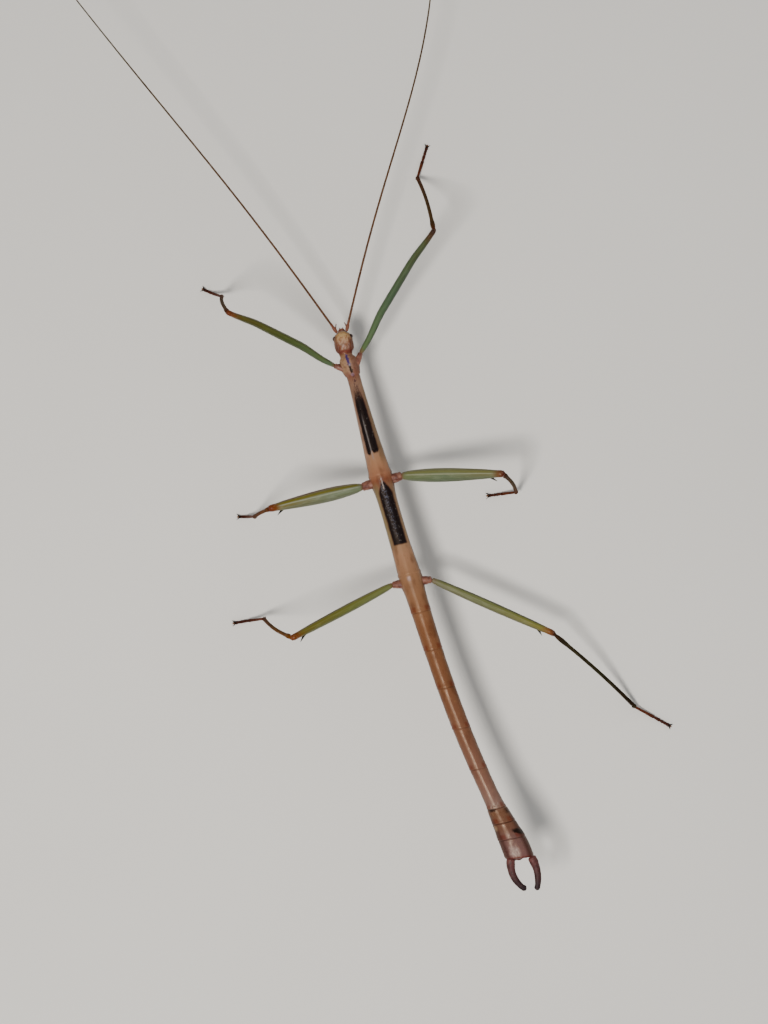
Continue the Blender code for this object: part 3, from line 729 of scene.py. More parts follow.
def stripeCoats(paint, upper, fleck, ragged, torn, wander):
    # Two black stripes on the middle ring and one on the rear ring, with soft red-brown edges.
    across, along = paint.across, paint.along
    coat, step, fall, band = paint.coat, paint.step, paint.fall, paint.band
    grit = paint.noise(4.2)
    offMiddle = abs(across - 0.10)
    halfWidth = 0.56 + 0.032 * (along - 10.0) + 0.12 * step(along, 11.0, 14.5)
    frontSpan = step(along - offMiddle * 0.9 + torn * 1.2 + (grit - 0.5) * 3.0, 9.6, 13.4)
    notch = band(across, 0.34, 0.06, 0.34) * 0.6 + step(offMiddle, 0.8, 1.2) * 0.4
    frontSpan = frontSpan * fall(along - across * 0.12 + notch + wander * 0.7, 22.9, 23.4)
    frontBand = fall(offMiddle - halfWidth + ragged * 0.5 + wander * 0.3, -0.12, 0.08) * frontSpan
    offRear = abs(across + 0.06)
    halfRear = 0.12 + 1.02 * step(along, 27.9, 30.9)
    rearSpan = step(along, 28.2, 28.9) * fall(along + across * 0.06 + wander * 0.6, 40.0, 40.4)
    rearBand = fall(offRear - halfRear + ragged * 0.5 + wander * 0.3, -0.10, 0.08) * rearSpan
    frontEdge = fall(offMiddle - halfWidth + wander * 0.5, 0.0, 0.34) * frontSpan
    rearEdge = fall(offRear - halfRear + wander * 0.5, 0.0, 0.30) * rearSpan
    coat((84, 34, 28), paint.sums("MAXIMUM", frontEdge, rearEdge) * upper * 0.75)
    black = paint.sums("MAXIMUM", frontBand, rearBand) * upper
    coat((24, 19, 24), black * 0.97)
    # The pale keel that parts the front stripes, and dust along the middle of the rear one.
    smudge = band(across + ragged, 0.0, 0.15, 0.5) * band(along, 9.8, 0.8, 1.8)
    coat((70, 46, 60), smudge * step(fleck, 0.44, 0.58) * 0.8)
    keel = band(across + ragged * 0.3, 0.38, 0.04, 0.20) * fall(along, 23.6, 24.6)
    keel = keel * step(along, 15.0, 18.5) * (0.55 + 0.6 * (fleck - 0.3))
    coat((178, 170, 168), keel * 0.8)
    dusty = band(across, 0.06, 0.10, 0.62) * paint.span(along, 27.2, 28.2, 35.0, 40.5)
    coat((126, 130, 150), dusty * step(grit, 0.47, 0.60) * 0.62)
    crest = band(across + torn * 0.2, 0.04, 0.03, 0.20) * band(along + torn * 0.6, 28.8, 0.7, 1.5)
    coat((232, 214, 204), crest * (0.35 + 0.5 * step(grit, 0.40, 0.56)))
    mote = paint.noise(2.6, 5.0)
    coat((176, 168, 160), black * step(mote, 0.64, 0.72) * 0.55)
    # Right margins darkened olive-brown, partly painted shade; left margins paled, partly painted light.
    margins = paint.span(along, 10.0, 13.0, 23.6, 26.0) * (1 - black)
    darker = fall(across + wander * 0.5, -1.05, -0.65) * margins
    coat((134, 110, 80), darker * 0.6)
    coat((210, 172, 150), step(across + wander * 0.5, 0.85, 1.2) * margins * 0.4)
    fork = band(along, 46.6, 0.2, 0.6) * band(across + torn * 0.4, 0.3, 0.15, 0.5)
    coat((190, 164, 176), fork * upper * 0.5)
    return dusty


def seamCoats(paint, cloud, wander):
    # Every seam of the hind body: a dark hairline, and red-brown patches in front of it at the sides.
    across, along = paint.across, paint.along
    coat, step, band = paint.coat, paint.step, paint.band
    lines, patches = None, None
    for seam in seams[4:-1].tolist():
        line = band(along + wander * 0.12, seam + 0.04, 0.03, 0.16)
        patch = band(along + wander, seam - 0.55, 0.15, 0.75)
        lines = line if lines is None else paint.sums("MAXIMUM", lines, line)
        patches = patch if patches is None else paint.sums("MAXIMUM", patches, patch)
    patches = patches * step(abs(across), 0.62, 1.05) * step(along, 47.0, 50.0)
    coat((128, 44, 24), patches * 0.50)
    lineShare = 0.12 + 0.26 * step(cloud, 0.35, 0.6) + 0.4 * step(along, 89.0, 90.0)
    coat((66, 30, 20), lines * lineShare)


def tailCoats(paint, upper, fleck, ragged, torn, wander):
    # Dark flanks, a black patch on the right of the eighth ring, a painted whitish highlight behind it.
    across, along, top = paint.across, paint.along, paint.top
    coat, step, fall, band = paint.coat, paint.step, paint.fall, paint.band
    tail = step(along, 90.6, 91.4)
    coat((74, 36, 28), tail * step(abs(across), 1.15, 1.9) * 0.7)
    patchAlong = (along + across * 0.35 + torn * 0.4 - 94.5) * 1.2
    patchAway = paint.away(patchAlong, (across + 1.75) * 0.55 + torn * 0.25)
    onUpper = step(top, -0.2, 0.2)
    coat((24, 11, 10), fall(patchAway, 0.40, 0.80) * onUpper * 0.95)
    corner = band(along + wander, 91.0, 0.3, 0.7) * fall(across + wander, -1.5, -0.7)
    coat((62, 28, 22), corner * upper * 0.8)
    smear = band(along + wander + ragged, 90.5, 0.12, 0.40) * band(across + torn * 0.6, 0.9, 0.3, 0.8)
    coat((30, 14, 14), smear * upper * 0.8)
    # Painted sheen: a whitish highlight on a pale waxy patch at the end of the sixth ring.
    sheenOnWax = band(along + wander, 89.7, 0.25, 0.7) * band(across, 0.25, 0.6, 1.2)
    coat((206, 182, 168), sheenOnWax * upper * step(fleck, 0.38, 0.60) * 0.6)
    fleckAway = paint.away((along - 93.7) * 0.7, across - 1.85 + torn * 0.3)
    coat((206, 172, 136), fall(fleckAway, 0.12, 0.55) * upper * 0.55)
    # Painted highlight: whitish on the last ring, where a waxy patch also dulls the gloss.
    highlightAndBloom = band(along + wander * 2, 98.5, 0.4, 1.4) * band(across + wander * 2, 0.5, 0.35, 1.2)
    coat((232, 208, 196), highlightAndBloom * upper * (0.35 + step(fleck, 0.40, 0.62) * 0.5))
    lip = step(along, 99.5, 99.85)
    coat((112, 34, 30), lip * 0.8)
    return highlightAndBloom


def skinFinish():
    # Waxy cuticle: tan and golden brown, black stripes down the thorax, redder toward every seam.
    paint = Paint("walkingstickSkin", {"Specular IOR Level": 0.26, "Specular Tint": (1.0, 0.78, 0.58, 1.0)})
    across, along, top = paint.across, paint.along, paint.top
    coat, step, fall, band = paint.coat, paint.step, paint.fall, paint.band
    # Colours along the body; the paler stop at 89.4 also holds the painted sheen at the end of the sixth
    # ring.
    stops = [
        (0.0, 168, 120, 92), (0.8, 252, 210, 152), (1.9, 236, 194, 158), (2.7, 210, 172, 154),
        (3.6, 174, 128, 112), (4.3, 126, 72, 60), (4.8, 198, 158, 128), (6.4, 198, 162, 142),
        (7.6, 180, 138, 120), (8.5, 162, 108, 90), (10.0, 178, 140, 118), (21.0, 190, 156, 134),
        (24.5, 206, 156, 122), (27.0, 198, 142, 112), (28.2, 166, 104, 80), (30.0, 172, 140, 112),
        (38.5, 184, 152, 120), (42.0, 204, 156, 124), (46.5, 184, 138, 106), (56.0, 158, 108, 78),
        (66.0, 150, 102, 74), (76.0, 152, 106, 84), (85.0, 158, 116, 100), (89.4, 166, 132, 120),
        (90.8, 142, 102, 80), (94.2, 136, 96, 80), (95.8, 138, 104, 98), (99.2, 148, 110, 106),
        (100.0, 128, 66, 60),
    ]
    stops = [(place / axis["length"], *tint) for place, *tint in stops]
    paint.colour = paint.ramp(along / axis["length"], stops)
    cloud = paint.noise(0.55, stretch=(1.0, 0.5, 1.0))
    fleck = paint.noise(5.0, 3.0, (1.0, 0.35, 1.0))
    coat((92, 44, 24), step(cloud, 0.50, 0.72) * 0.42)
    coat((206, 160, 110), step(fleck, 0.56, 0.74) * 0.25)
    # Olive margins by the rear stripe, redder flanks partly painted shade, a pale line above the side fold.
    rearMargin = band(along, 34.5, 4.0, 7.0) * step(across, 0.9, 1.2)
    coat((158, 144, 104), rearMargin * 0.6)
    # The flanks' own red-brown, deepened as painted shade low down and most of all on the right side.
    flank = fall(top, 0.0, 0.55) * (0.45 + 0.45 * fall(across, -0.6, 0.6))
    coat((92, 46, 32), flank * step(along, 4.5, 6.0))
    belly = fall(top, -0.75, -0.35)
    coat((150, 104, 70), belly * 0.65)
    sideLine = band(top, -0.12, 0.03, 0.12) * step(along, 9.0, 12.0)
    coat((178, 138, 96), sideLine * 0.35)
    # Grains that the layers share: a band is ragged or torn by tenths of a millimetre and wanders slowly.
    upper = step(top, 0.1, 0.4)
    ragged = (fleck - 0.5) * 0.35
    torn = paint.grain(2.6, 1.15, 5.0)
    wander = paint.grain(0.9, 0.5)
    headCoats(paint, cloud)
    shieldCoats(paint, upper, ragged, torn)
    dusty = stripeCoats(paint, upper, fleck, ragged, torn, wander)
    seamCoats(paint, cloud, wander)
    highlightAndBloom = tailCoats(paint, upper, fleck, ragged, torn, wander)
    # Fine pits and lengthwise wrinkles stand in the gloss; dust and the waxy patch at the tail dull it.
    grain = paint.noise(9.0, stretch=(1.0, 0.4, 1.0))
    pits = paint.cells(6.5)
    height = (grain - 0.5) * 0.010 + step(pits, 0.0, 0.35) * 0.004 + (cloud - 0.5) * 0.02
    rough = 0.33 + (fleck - 0.5) * 0.34 + (cloud - 0.5) * 0.2 + dusty * 0.25 + highlightAndBloom * 0.15 + flank * 0.15
    return paint.done(rough, height)


rings = [ring[0] for ring in body["segments"]]
makePiece("bodySkin", [bodyShell()], skinFinish(), "abdomen", "head", *rings)
print("the body is skinned")


# The eyes: small, glossy and finely faceted, each in a raised ring of the skin.

def eyeFinish():
    paint = Paint("faceted eye", {"Roughness": 0.16, "Coat Weight": 0.6, "Coat Roughness": 0.05})
    facets = paint.cells(22.0)
    stripe = paint.noise(1.6, 2.0, (1.0, 1.0, 3.0))
    paint.colour = paint.blend(ink(74, 40, 26), ink(150, 96, 56), paint.step(stripe, 0.42, 0.62))
    paint.coat((34, 16, 12), paint.step(facets, 0.35, 0.62) * 0.8)
    return paint.done(None, paint.fall(facets, 0.0, 0.5) * 0.006)


eyeGloss = eyeFinish()
for sideName, sign in signs.items():
    centre = beside(eye["station"], sign * eye["offset"], eye["lift"])
    outwardLine = leftAt(eye["station"]) * sign + np.array([0.0, -0.12, 0.16])
    size = eye["radius"] * np.array([1.02, 1.08, 0.98])
    ball = ovalShell(centre, outwardLine, up, size, 28, 36)
    makePiece(f"eye_{sideName}_faceted", [ball], eyeGloss, "eye", f"eye_{sideName}")


# The mouth: lip, jaws, and two pairs of jointed palps under the front of the head.

mouth = {
    # station, lift, droop of the aim, half length, width and height, rings, squareness
    "plates": (
        (0.02, -0.42, 0.55, (0.62, 0.62, 0.20), 20, 2.4),
        (0.36, 0.02, 0.5, (0.50, 0.50, 0.22), 16, 2.2),
        (0.55, -1.30, 0.1, (0.85, 0.60, 0.26), 18, 2.3),
    ),
    # station, offset, lift, half length, width and height, rings, columns, squareness
    "jaws": (
        (0.30, 0.42, -0.86, (0.62, 0.36, 0.46), 20, 24, 2.2),
        (0.62, 0.92, -0.92, (0.55, 0.22, 0.30), 16, 20, 2.0),
    ),
    # station, offset, lift, lean of the aim outward and down, share of the curl, joints, radius
    "palps": (
        (0.45, 0.82, -1.12, 0.30, 0.35, 1.0, (0.52, 0.34, 0.50, 0.46, 0.62), 0.125),
        (0.15, 0.32, -1.42, 0.12, 0.45, 0.5, (0.30, 0.34, 0.46), 0.10625),
    ),
}


def beadedShell(start, aim, curl, lengths, radius):
    # A chain of joints: each swells toward its outer end and is nicked where the next begins.
    total = sum(lengths)
    joints = np.concatenate([[0], np.cumsum(lengths)])
    distance, cap = spread(total, 0.08, 0.14, 0.10, joints[1:-1], 0.03, 0.12)
    share = distance / total
    line = np.asarray(start) + np.outer(distance, unit(aim)) + np.outer(share ** 2, curl) * total
    index = np.searchsorted(joints, distance, "right").clip(1, len(lengths)) - 1
    within = (distance - joints[index]) / np.array(lengths)[index]
    width = radius * (1 - 0.25 * share) * (0.72 + 0.34 * np.sin(within * np.pi * 0.72))
    return tubeShell(line, evenly(width * cap, 14), up)


def mouthShells():
    forward = -unit(np.gradient(axisAt(np.array([0.0, 0.1])), axis=0))[0]
    left, down = leftAt(0.0), -up
    shells = []
    for station, lift, droop, size, rings, power in mouth["plates"]:
        aim = forward + down * droop
        shells.append(ovalShell(beside(station, 0, lift), aim, up, size, rings, 28, power))
    for sign in signs.values():
        aim = forward + down * 0.35 - left * sign * 0.25
        for station, offset, lift, size, rings, columns, power in mouth["jaws"]:
            place = beside(station, sign * offset, lift)
            shells.append(ovalShell(place, aim, up, size, rings, columns, power))
        curl = left * sign * -0.32 + down * 0.22
        for station, offset, lift, lean, droop, curled, lengths, radius in mouth["palps"]:
            place = beside(station, sign * offset, lift)
            aim = forward * 0.9 + left * sign * lean + down * droop
            shells.append(beadedShell(place, aim, curl * curled, lengths, radius))
    return shells


def softFinish(name, pale, dark, roughness):
    # Thin cuticle over soft tissue: pinkish, with darker joints and a fine grain.
    paint = Paint(name, {"Roughness": roughness, "Specular IOR Level": 0.3})
    cloud = paint.noise(1.4)
    paint.colour = paint.blend(ink(*pale), ink(*dark), paint.step(cloud, 0.40, 0.66))
    paint.coat((92, 40, 34), paint.step(paint.noise(6.0, 3.0), 0.55, 0.72) * 0.4)
    return paint.done(None, paint.grain(8.0, 0.02))


makePiece("mouthparts", mouthShells(), softFinish("mouthSkin", (186, 120, 96), (132, 72, 58), 0.42), "head")
print("the head has its eyes and mouth")


# The feelers.

def feelerFinish():
    paint = Paint("feelerCuticle", {"Specular IOR Level": 0.2})
    grain = paint.noise(3.0, stretch=(1.0, 0.6, 1.0))
    outward = paint.step(paint.along, 1.0, 80.0)
    paint.colour = paint.blend(ink(128, 84, 56), ink(98, 84, 56), outward)
    paint.coat((74, 46, 30), paint.step(grain, 0.44, 0.62) * 0.6)
    paint.coat((164, 104, 84), paint.fall(paint.along, 1.3, 2.4) * 0.75)
    # Painted shade: the feeler is darker on its underside.
    beneath = paint.fall(paint.top, -0.5, 0.4)
    paint.coat((66, 40, 26), beneath * 0.5)
    return paint.done(0.36 + grain * 0.2, (grain - 0.5) * 0.012)


feelerCuticle = feelerFinish()
for sideName in signs:
    makePiece(f"feeler_{sideName}_ringed", [feelerShell(sideName)], feelerCuticle, "feeler",
              f"feeler_base_{sideName}", f"feeler_{sideName}")
print("the feelers are ringed")


# The tail end: a pair of grasping claspers, the plate beneath and three small plates between them.

clasper = {
    "length": {"left": 6.3, "right": 5.9},
    "radii": (0.76, 0.49),
    "rounds": (0.35, 0.50),
    "lift": 0.1,
    "fall": 0.08,
    "within": 0.55,
    "root": {"left": (99.85, 1.72), "right": (100.75, 2.08)},
    "left": (-22.0, 42.0),
    "right": (-9.0, 32.0),
}


def clasperLine(sideName, distance):
    # Follows a heading that turns evenly from the first to the second angle, in toward the middle.
    # It starts a little inside the body, where the distance is below 0.
    sign = signs[sideName]
    first, last = clasper[sideName]
    length = clasper["length"][sideName]
    before, count = 40, 240
    run = np.arange(-before, count + 1) / count * length
    inward = np.radians(first + (last - first) * np.maximum(run, 0) / length)
    turn = headingAt(axis["length"]) - sign * inward
    steps = np.stack([np.sin(turn), np.cos(turn), np.full_like(turn, -clasper["fall"])], -1)
    path = np.cumsum(steps * (run[1] - run[0]), axis=0)
    station, offset = clasper["root"][sideName]
    path = path - path[before] + beside(station, sign * offset, clasper["lift"])
    return np.stack([np.interp(distance, run, path[:, part]) for part in range(3)], -1)


def clasperShell(sideName):
    sign = signs[sideName]
    within = clasper["within"]
    length = clasper["length"][sideName] * 0.985
    distance, cap = spread(length + within, *clasper["rounds"], 0.09)
    distance = distance - within
    share = np.maximum(distance / length, 0)[:, None]
    base, tip = clasper["radii"]
    angle = anglesOf(40)
    inner = np.cos(angle - np.pi * (sign > 0))
    width = base + (tip - base) * share ** 1.5
    width = width * (1 + 0.04 * bell(share, 0.10, 0.08) - 0.03 * bell(share, 0.22, 0.07))
    width = width - 0.08 * rise(share, 0.15, 0.4) * np.clip(inner, 0, 1) ** 3
    width = width + 0.10 * bell(share, 0.93, 0.06) * np.clip(inner, 0, 1) ** 2
    width = width + 0.008 * np.sin(share * 14 + 2 * np.sin(angle * 2))
    width = width + 0.004 * np.sin(share * 47 + 3 * angle)
    return tubeShell(clasperLine(sideName, distance), width * cap[:, None], up, flat=0.86, mirror=sign)


def clasperFinish():
    # Dusky purple-brown, nearly black at the tip, reddish where it joins the body.
    paint = Paint("clasperCuticle", {"Specular IOR Level": 0.25})
    cloud = paint.noise(1.2)
    paint.colour = paint.ramp(paint.along / clasper["length"]["left"], [
        (0.0, 142, 88, 84), (0.22, 116, 72, 70), (0.6, 86, 54, 54), (1.0, 42, 28, 36)])
    paint.coat((52, 30, 32), paint.step(cloud, 0.46, 0.66) * 0.6)
    paint.coat((150, 122, 112), paint.step(paint.noise(3.0, 3.0), 0.56, 0.72) * 0.35)
    return paint.done(0.40 + cloud * 0.2, paint.grain(6.0, 0.02))


scoop = {
    "station": 95.4,
    "lift": -1.62,
    "length": 4.9,
    "rounds": (1.1, 0.5),
    "halfWidth": 1.34,
    "keel": 0.16,
}


def plateShells():
    # The scoop under the tail, with a keel and a thin lip, then a plate over the vent and one each side.
    ahead = unit(np.gradient(axisAt(scoop["station"] + np.array([-0.1, 0.1])), axis=0))[0]
    ahead = unit(ahead - up * 0.07)
    length = scoop["length"]
    distance, cap = spread(length, *scoop["rounds"], 0.10)
    share = (distance / length)[:, None]
    angle = anglesOf(48)
    width = scoop["halfWidth"] * np.sin(np.pi * (0.16 + 0.60 * share)) ** 0.9
    keel = scoop["keel"] * bell(wrapped(angle + np.pi / 2), 0, 0.18) * rise(share, 0.2, 0.6)
    width = (width + keel) * cap[:, None]
    line = beside(scoop["station"], 0.0, scoop["lift"]) + np.outer(distance - 2.5, ahead)
    shells = [tubeShell(line, width + 0 * angle, up, flat=0.80)]
    shells.append(ovalShell(beside(99.7, 0.0, 0.45), ahead, up, (0.52, 0.70, 0.30), 16, 24, 2.3))
    for sign in signs.values():
        centre = beside(99.65, sign * 0.75, -0.40)
        shells.append(ovalShell(centre, ahead, up, (0.50, 0.55, 0.60), 16, 24, 2.2))
    return shells


clasperCuticle = clasperFinish()
for sideName in signs:
    makePiece(f"clasper_{sideName}_grooved", [clasperShell(sideName)], clasperCuticle, "clasper",
              f"clasper_{sideName}")
makePiece("tailPlates", plateShells(), softFinish("tailPlateSkin", (118, 72, 62), (74, 40, 36), 0.40),
          "tail", "genital_plate")
print("the tail has its claspers and plates")


# The legs. Each hip stands beside the trunk; the pose gives the coxa's reach back, then swing and
# lift of the long joints and the swing of the foot, in degrees.

legs = {
    "Front": {
        "station": 5.4, "offset": 2.6, "lift": 0.0, "coxaBack": 1.5, "coxaRadius": 0.62,
        "femur": 28.0, "tibia": 27.5, "tarsus": 6.6,
        "femurRadii": (0.42, 0.67, 0.50), "fullest": 0.42, "tibiaRadius": 0.37, "thorn": 0.0, "bow": 0.62,
        "keel": 0.10, "teeth": 0,
    },
    "Mid": {
        "station": 28.3, "offset": 3.7, "lift": -0.3, "coxaBack": 0.0, "coxaRadius": 0.95,
        "femur": 20.4, "tibia": 20.6, "tarsus": 6.0,
        "femurRadii": (0.72, 1.22, 0.68), "fullest": 0.36, "tibiaRadius": 0.40, "thorn": 1.9, "bow": 0.0,
        "keel": 0.075, "teeth": 9,
    },
    "Hind": {
        "station": 47.3, "offset": 3.5, "lift": -0.3, "coxaBack": 0.0, "coxaRadius": 0.90,
        "femur": 24.2, "tibia": 24.8, "tarsus": 8.0,
        "femurRadii": (0.54, 0.78, 0.60), "fullest": 0.42, "tibiaRadius": 0.38, "thorn": 1.9, "bow": 0.0,
        "keel": 0.095, "teeth": 14,
    },
}
poses = {
    ("Front", "left"): {"hipBack": 0.2, "femur": (42.5, 45), "tibia": (80.5, -77.5), "tarsus": 43.5},
    ("Front", "right"): {"hipBack": -0.5, "femur": (39, 29), "tibia": (83, -62), "tarsus": 54.5},
    ("Mid", "left"): {"hipBack": 0.0, "femur": (5, 35), "tibia": (-2.5, -79), "tarsus": 18},
    ("Mid", "right"): {"hipBack": 0.0, "femur": (-18, 28), "tibia": (-62.5, -77.5), "tarsus": 168.5},
    ("Hind", "left"): {"hipBack": -0.6, "femur": (-8, 35.5), "tibia": (39.5, -75), "tarsus": 8.5},
    ("Hind", "right"): {"hipBack": 0.6, "femur": (-42.5, -3), "tibia": (-60.5, -30), "tarsus": -47.5},
}
limb = {
    "tibiaBow": 0.5,
    "tarsusRadius": 0.30,
    "footHeight": 0.22,
    "footJoints": (0.0, 0.44, 0.62, 0.74, 0.83, 0.97),
    "clawLength": 0.95,
    "clawRadius": 0.155,
    "thornRadius": 0.31,
    # length and radius at the root
    "tooth": (0.26, 0.07),
    "spur": (0.55, 0.11),
    # half length, half width and half height
    "pad": (0.30, 0.20, 0.13),
    "heel": (0.34, 0.20, 0.13),
    # degrees round the limb from its side
    "keelAngles": (52, 128, 180, 236, 304, 360),
}


def aimed(sign, swing, lift):
    # Straight out from the side is swing 0; forward is positive, and lift is above level.
    swing, lift = np.radians(swing), np.radians(lift)
    level = np.cos(lift)
    return np.array([sign * level * np.cos(swing), -level * np.sin(swing), np.sin(lift)])


def keeled(angle, amount):
    # Raises a narrow keel at each of the named angles round a limb and flattens what is between.
    raised = sum(bell(wrapped(angle - np.radians(place)), 0, 0.17) for place in limb["keelAngles"])
    return 1 + amount * (raised - 0.45)


def spikeShell(root, aim, length, radius, curl, tone=1.0, sides=8):
    # A thorn that narrows evenly to a blunt point and bends along `curl` by the square of the distance.
    share = np.linspace(0, 1, 10)
    line = np.asarray(root) + np.outer(share * length, unit(aim)) + np.outer(share ** 2, curl)
    width = radius * (1 - 0.93 * share ** 1.2)
    width[0] *= 0.8
    return tubeShell(line, evenly(width, sides), np.cross(unit(aim), [0.3, 0.5, 0.8]), tone=tone)


def coxaShell(leg, sign, hip):
    # A lumpy stub from inside the trunk's side out to the hip, ribbed where the trochanter sits in it.
    inner = beside(leg["station"] + leg["coxaBack"], sign * 1.0, leg["lift"])
    length = np.linalg.norm(hip - inner) + 0.12
    distance, cap = spread(length, 0.3, 0.3, 0.07)
    share = (distance / length)[:, None]
    full, base = leg["coxaRadius"], leg["femurRadii"][0]
    angle = anglesOf(32)
    width = full + (base + 0.05 - full) * np.clip(share, 0, 1) ** 1.3
    width = width + 0.03 * bell(share, 0.62, 0.10) - 0.04 * bell(share, 0.76, 0.06)
    width = width * (1 + 0.03 * np.sin(3 * angle + 4 * share) + 0.015 * np.sin(5 * angle - 9 * share))
    line = inner + np.outer(distance, unit(hip - inner))
    return tubeShell(line, width * cap[:, None], up, mirror=sign)


def kneeLobes(knee, thigh, shin, apex, place):
    # A flat lobe on each side of the knee, sized by the thigh's end.
    hinge = unit(np.cross(thigh, shin))
    size = (apex * 0.58, apex * 0.46, apex * 0.16)
    lobes = []
    for turn in (1, -1):
        centre = knee - thigh * apex * 0.62 + shin * apex * 0.22 + hinge * turn * apex * 0.70
        lobes.append(moved(ovalShell(centre, thigh - shin * 0.2, hinge, size, 16, 24, 2.2), place))
    return lobes


def femurShells(leg, sign, hip, knee, thigh, shin):
    # A short ring, then a swollen six-keeled shaft ending in a rounded knee with a lobe each side.
    forward = squareTo(thigh, (0, -1, 0))
    start = hip + thigh * 0.02
    length = np.linalg.norm(knee - start)
    base, fullest, apex = leg["femurRadii"]
    distance, cap = spread(length, 0.25, apex * 0.95, 0.20, (0.85, length - 1.6), 0.05, 0.5)
    share = distance / length
    bend = between(share, 0.08, 0.34, 0.70, 1.0)
    line = start + np.outer(distance, unit(knee - start)) + np.outer(bend * leg["bow"], forward)
    swell = np.sin(0.5 * np.pi * np.clip(share / leg["fullest"], 0, 1))
    fade = np.clip((share - leg["fullest"]) / (1 - leg["fullest"]), 0, 1)
    width = np.where(share < leg["fullest"], base + (fullest - base) * swell,
                     apex + (fullest - apex) * np.cos(0.5 * np.pi * fade) ** 1.4)
    width = width * (1 - 0.16 * bell(distance, 0.1, 0.6)) - 0.06 * base * bell(distance, 0.92, 0.10)
    width = width * (1 - 0.10 * rise(share, 0.80, 0.95) + 0.04 * bell(distance, length - 0.7, 0.5))
    width = width * cap
    angle = anglesOf(48)
    shaft = between(distance, 0.9, 1.8, length - 2.2, length - 1.0)[:, None]
    form = 1 + (keeled(angle, leg["keel"]) - 1) * shaft
    ripple = 0.006 * np.sin(distance * 2.1)[:, None] * np.sin(3 * angle)
    shells = [tubeShell(line, width[:, None] * form + ripple, up, mirror=sign)]
    shells += kneeLobes(knee, thigh, shin, apex, length - apex * 1.2)
    if leg["thorn"] > 0:
        aft = squareTo(thigh, (0, 0.90, -0.45))
        root = knee - thigh * 3.2 + aft * (apex - 0.30)
        aim = thigh * 0.80 + aft * 0.60
        reach = leg["thorn"] * 1.02
        shells.append(spikeShell(root, aim, reach, limb["thornRadius"], thigh * -0.10, 1.0, 14))
    # A row of small teeth on each of the two lower keels.
    below = squareTo(thigh, -up)
    aside = np.cross(thigh, below)
    for number in range(leg["teeth"]):
        place = length * (0.30 + 0.52 * number / leg["teeth"])
        wide = np.interp(place, distance, width)
        for turn in (1, -1):
            spot = start + thigh * place + below * wide * 0.78 + aside * turn * wide * 0.52
            aim = below + thigh * 0.5 + aside * turn * 0.35
            shells.append(moved(spikeShell(spot, aim, *limb["tooth"], thigh * 0.03, 0.6, 6), place))
    return shells


def tibiaShells(leg, sign, knee, ankle, thigh, shin):
    # A rounded head set in the knee, a narrow neck, a long four-sided shaft and a spurred lower end.
    apex = leg["femurRadii"][2]
    clear = apex + 0.12
    full = leg["tibiaRadius"]
    outer = squareTo(shin, thigh)
    head = knee + shin * 0.05 - thigh * apex * 0.35
    length = np.linalg.norm(ankle - head) + 0.12
    distance, cap = spread(length, 0.22, 0.30, 0.22, (0.6, length - 0.7), 0.06, 0.7)
    share = np.clip((distance - clear) / (length - clear), 0, 1)
    bend = limb["tibiaBow"] * np.sin(np.pi * share)
    line = head + np.outer(distance, unit(ankle - head)) + np.outer(bend, outer)
    width = full * (0.84 + 0.30 * bell(share, 0.07, 0.06) + 0.14 * share ** 6)
    width = np.where(distance < clear, full * 0.98, width)
    width = width * (1 - 0.22 * bell(distance, clear * 0.95, 0.28) + 0.10 * bell(distance, 0.25, 0.3))
    heel = 0.10 * bell(distance, length - 0.35, 0.25) - 0.08 * bell(distance, length - 0.85, 0.2)
    width = width * (1 + heel) * cap
    angle = anglesOf(32)
    edges = sum(bell(wrapped(2 * (angle + turn * np.pi / 4)), 0, 0.42) for turn in (-1, 1))
    shaft = between(distance, 1.4, 2.6, length - 1.2, length - 0.6)[:, None]
    form = 1 + 0.14 * (edges - 0.42) * shaft
    shells = [tubeShell(line, width[:, None] * form, outer, mirror=sign)]
    hinge = unit(np.cross(thigh, shin))
    for turn in (1, -1):
        spot = line[-14] - outer * full * 0.7 + hinge * turn * full * 0.5
        aim = shin - outer * 0.45 + hinge * turn * 0.2
        shells.append(moved(spikeShell(spot, aim, *limb["spur"], outer * 0.04, 0.8, 8), length - 0.6))
    return shells


def footLine(leg, ankle, shin, ahead, distance):
    # Falls from the ankle to lie along the floor: the height left goes with the cube of what is left.
    start = ankle + shin * 0.06
    drop = start[2] - limb["footHeight"]
    reach = np.sqrt((0.93 * leg["tarsus"]) ** 2 - drop ** 2)
    share = distance / leg["tarsus"]
    level = start + np.outer(reach * (share + 0.12 * np.sin(np.pi * share)), ahead)
    height = limb["footHeight"] + drop * (1 - share) ** 3
    return np.stack([level[:, 0], level[:, 1], height], -1)


def clawShells(heel, ahead):
    # Two hooks that part from the heel, arch up and come down to their points.
    claws = []
    step = np.linspace(0, 1, 16)
    width = limb["clawRadius"] * (1 - 0.90 * step ** 1.3)
    width[0] *= 0.7
    for turn in (1, -1):
        aim = ahead * 0.80 + np.cross(ahead, up) * turn * 0.60
        hook = heel + np.outer(step * limb["clawLength"], aim)
        hook[:, 2] += 0.30 * np.sin(np.pi * np.minimum(step * 1.15, 1)) - 0.16 * step ** 2
        claws.append(tubeShell(hook, evenly(width, 12), up, tone=1.0))
    return claws


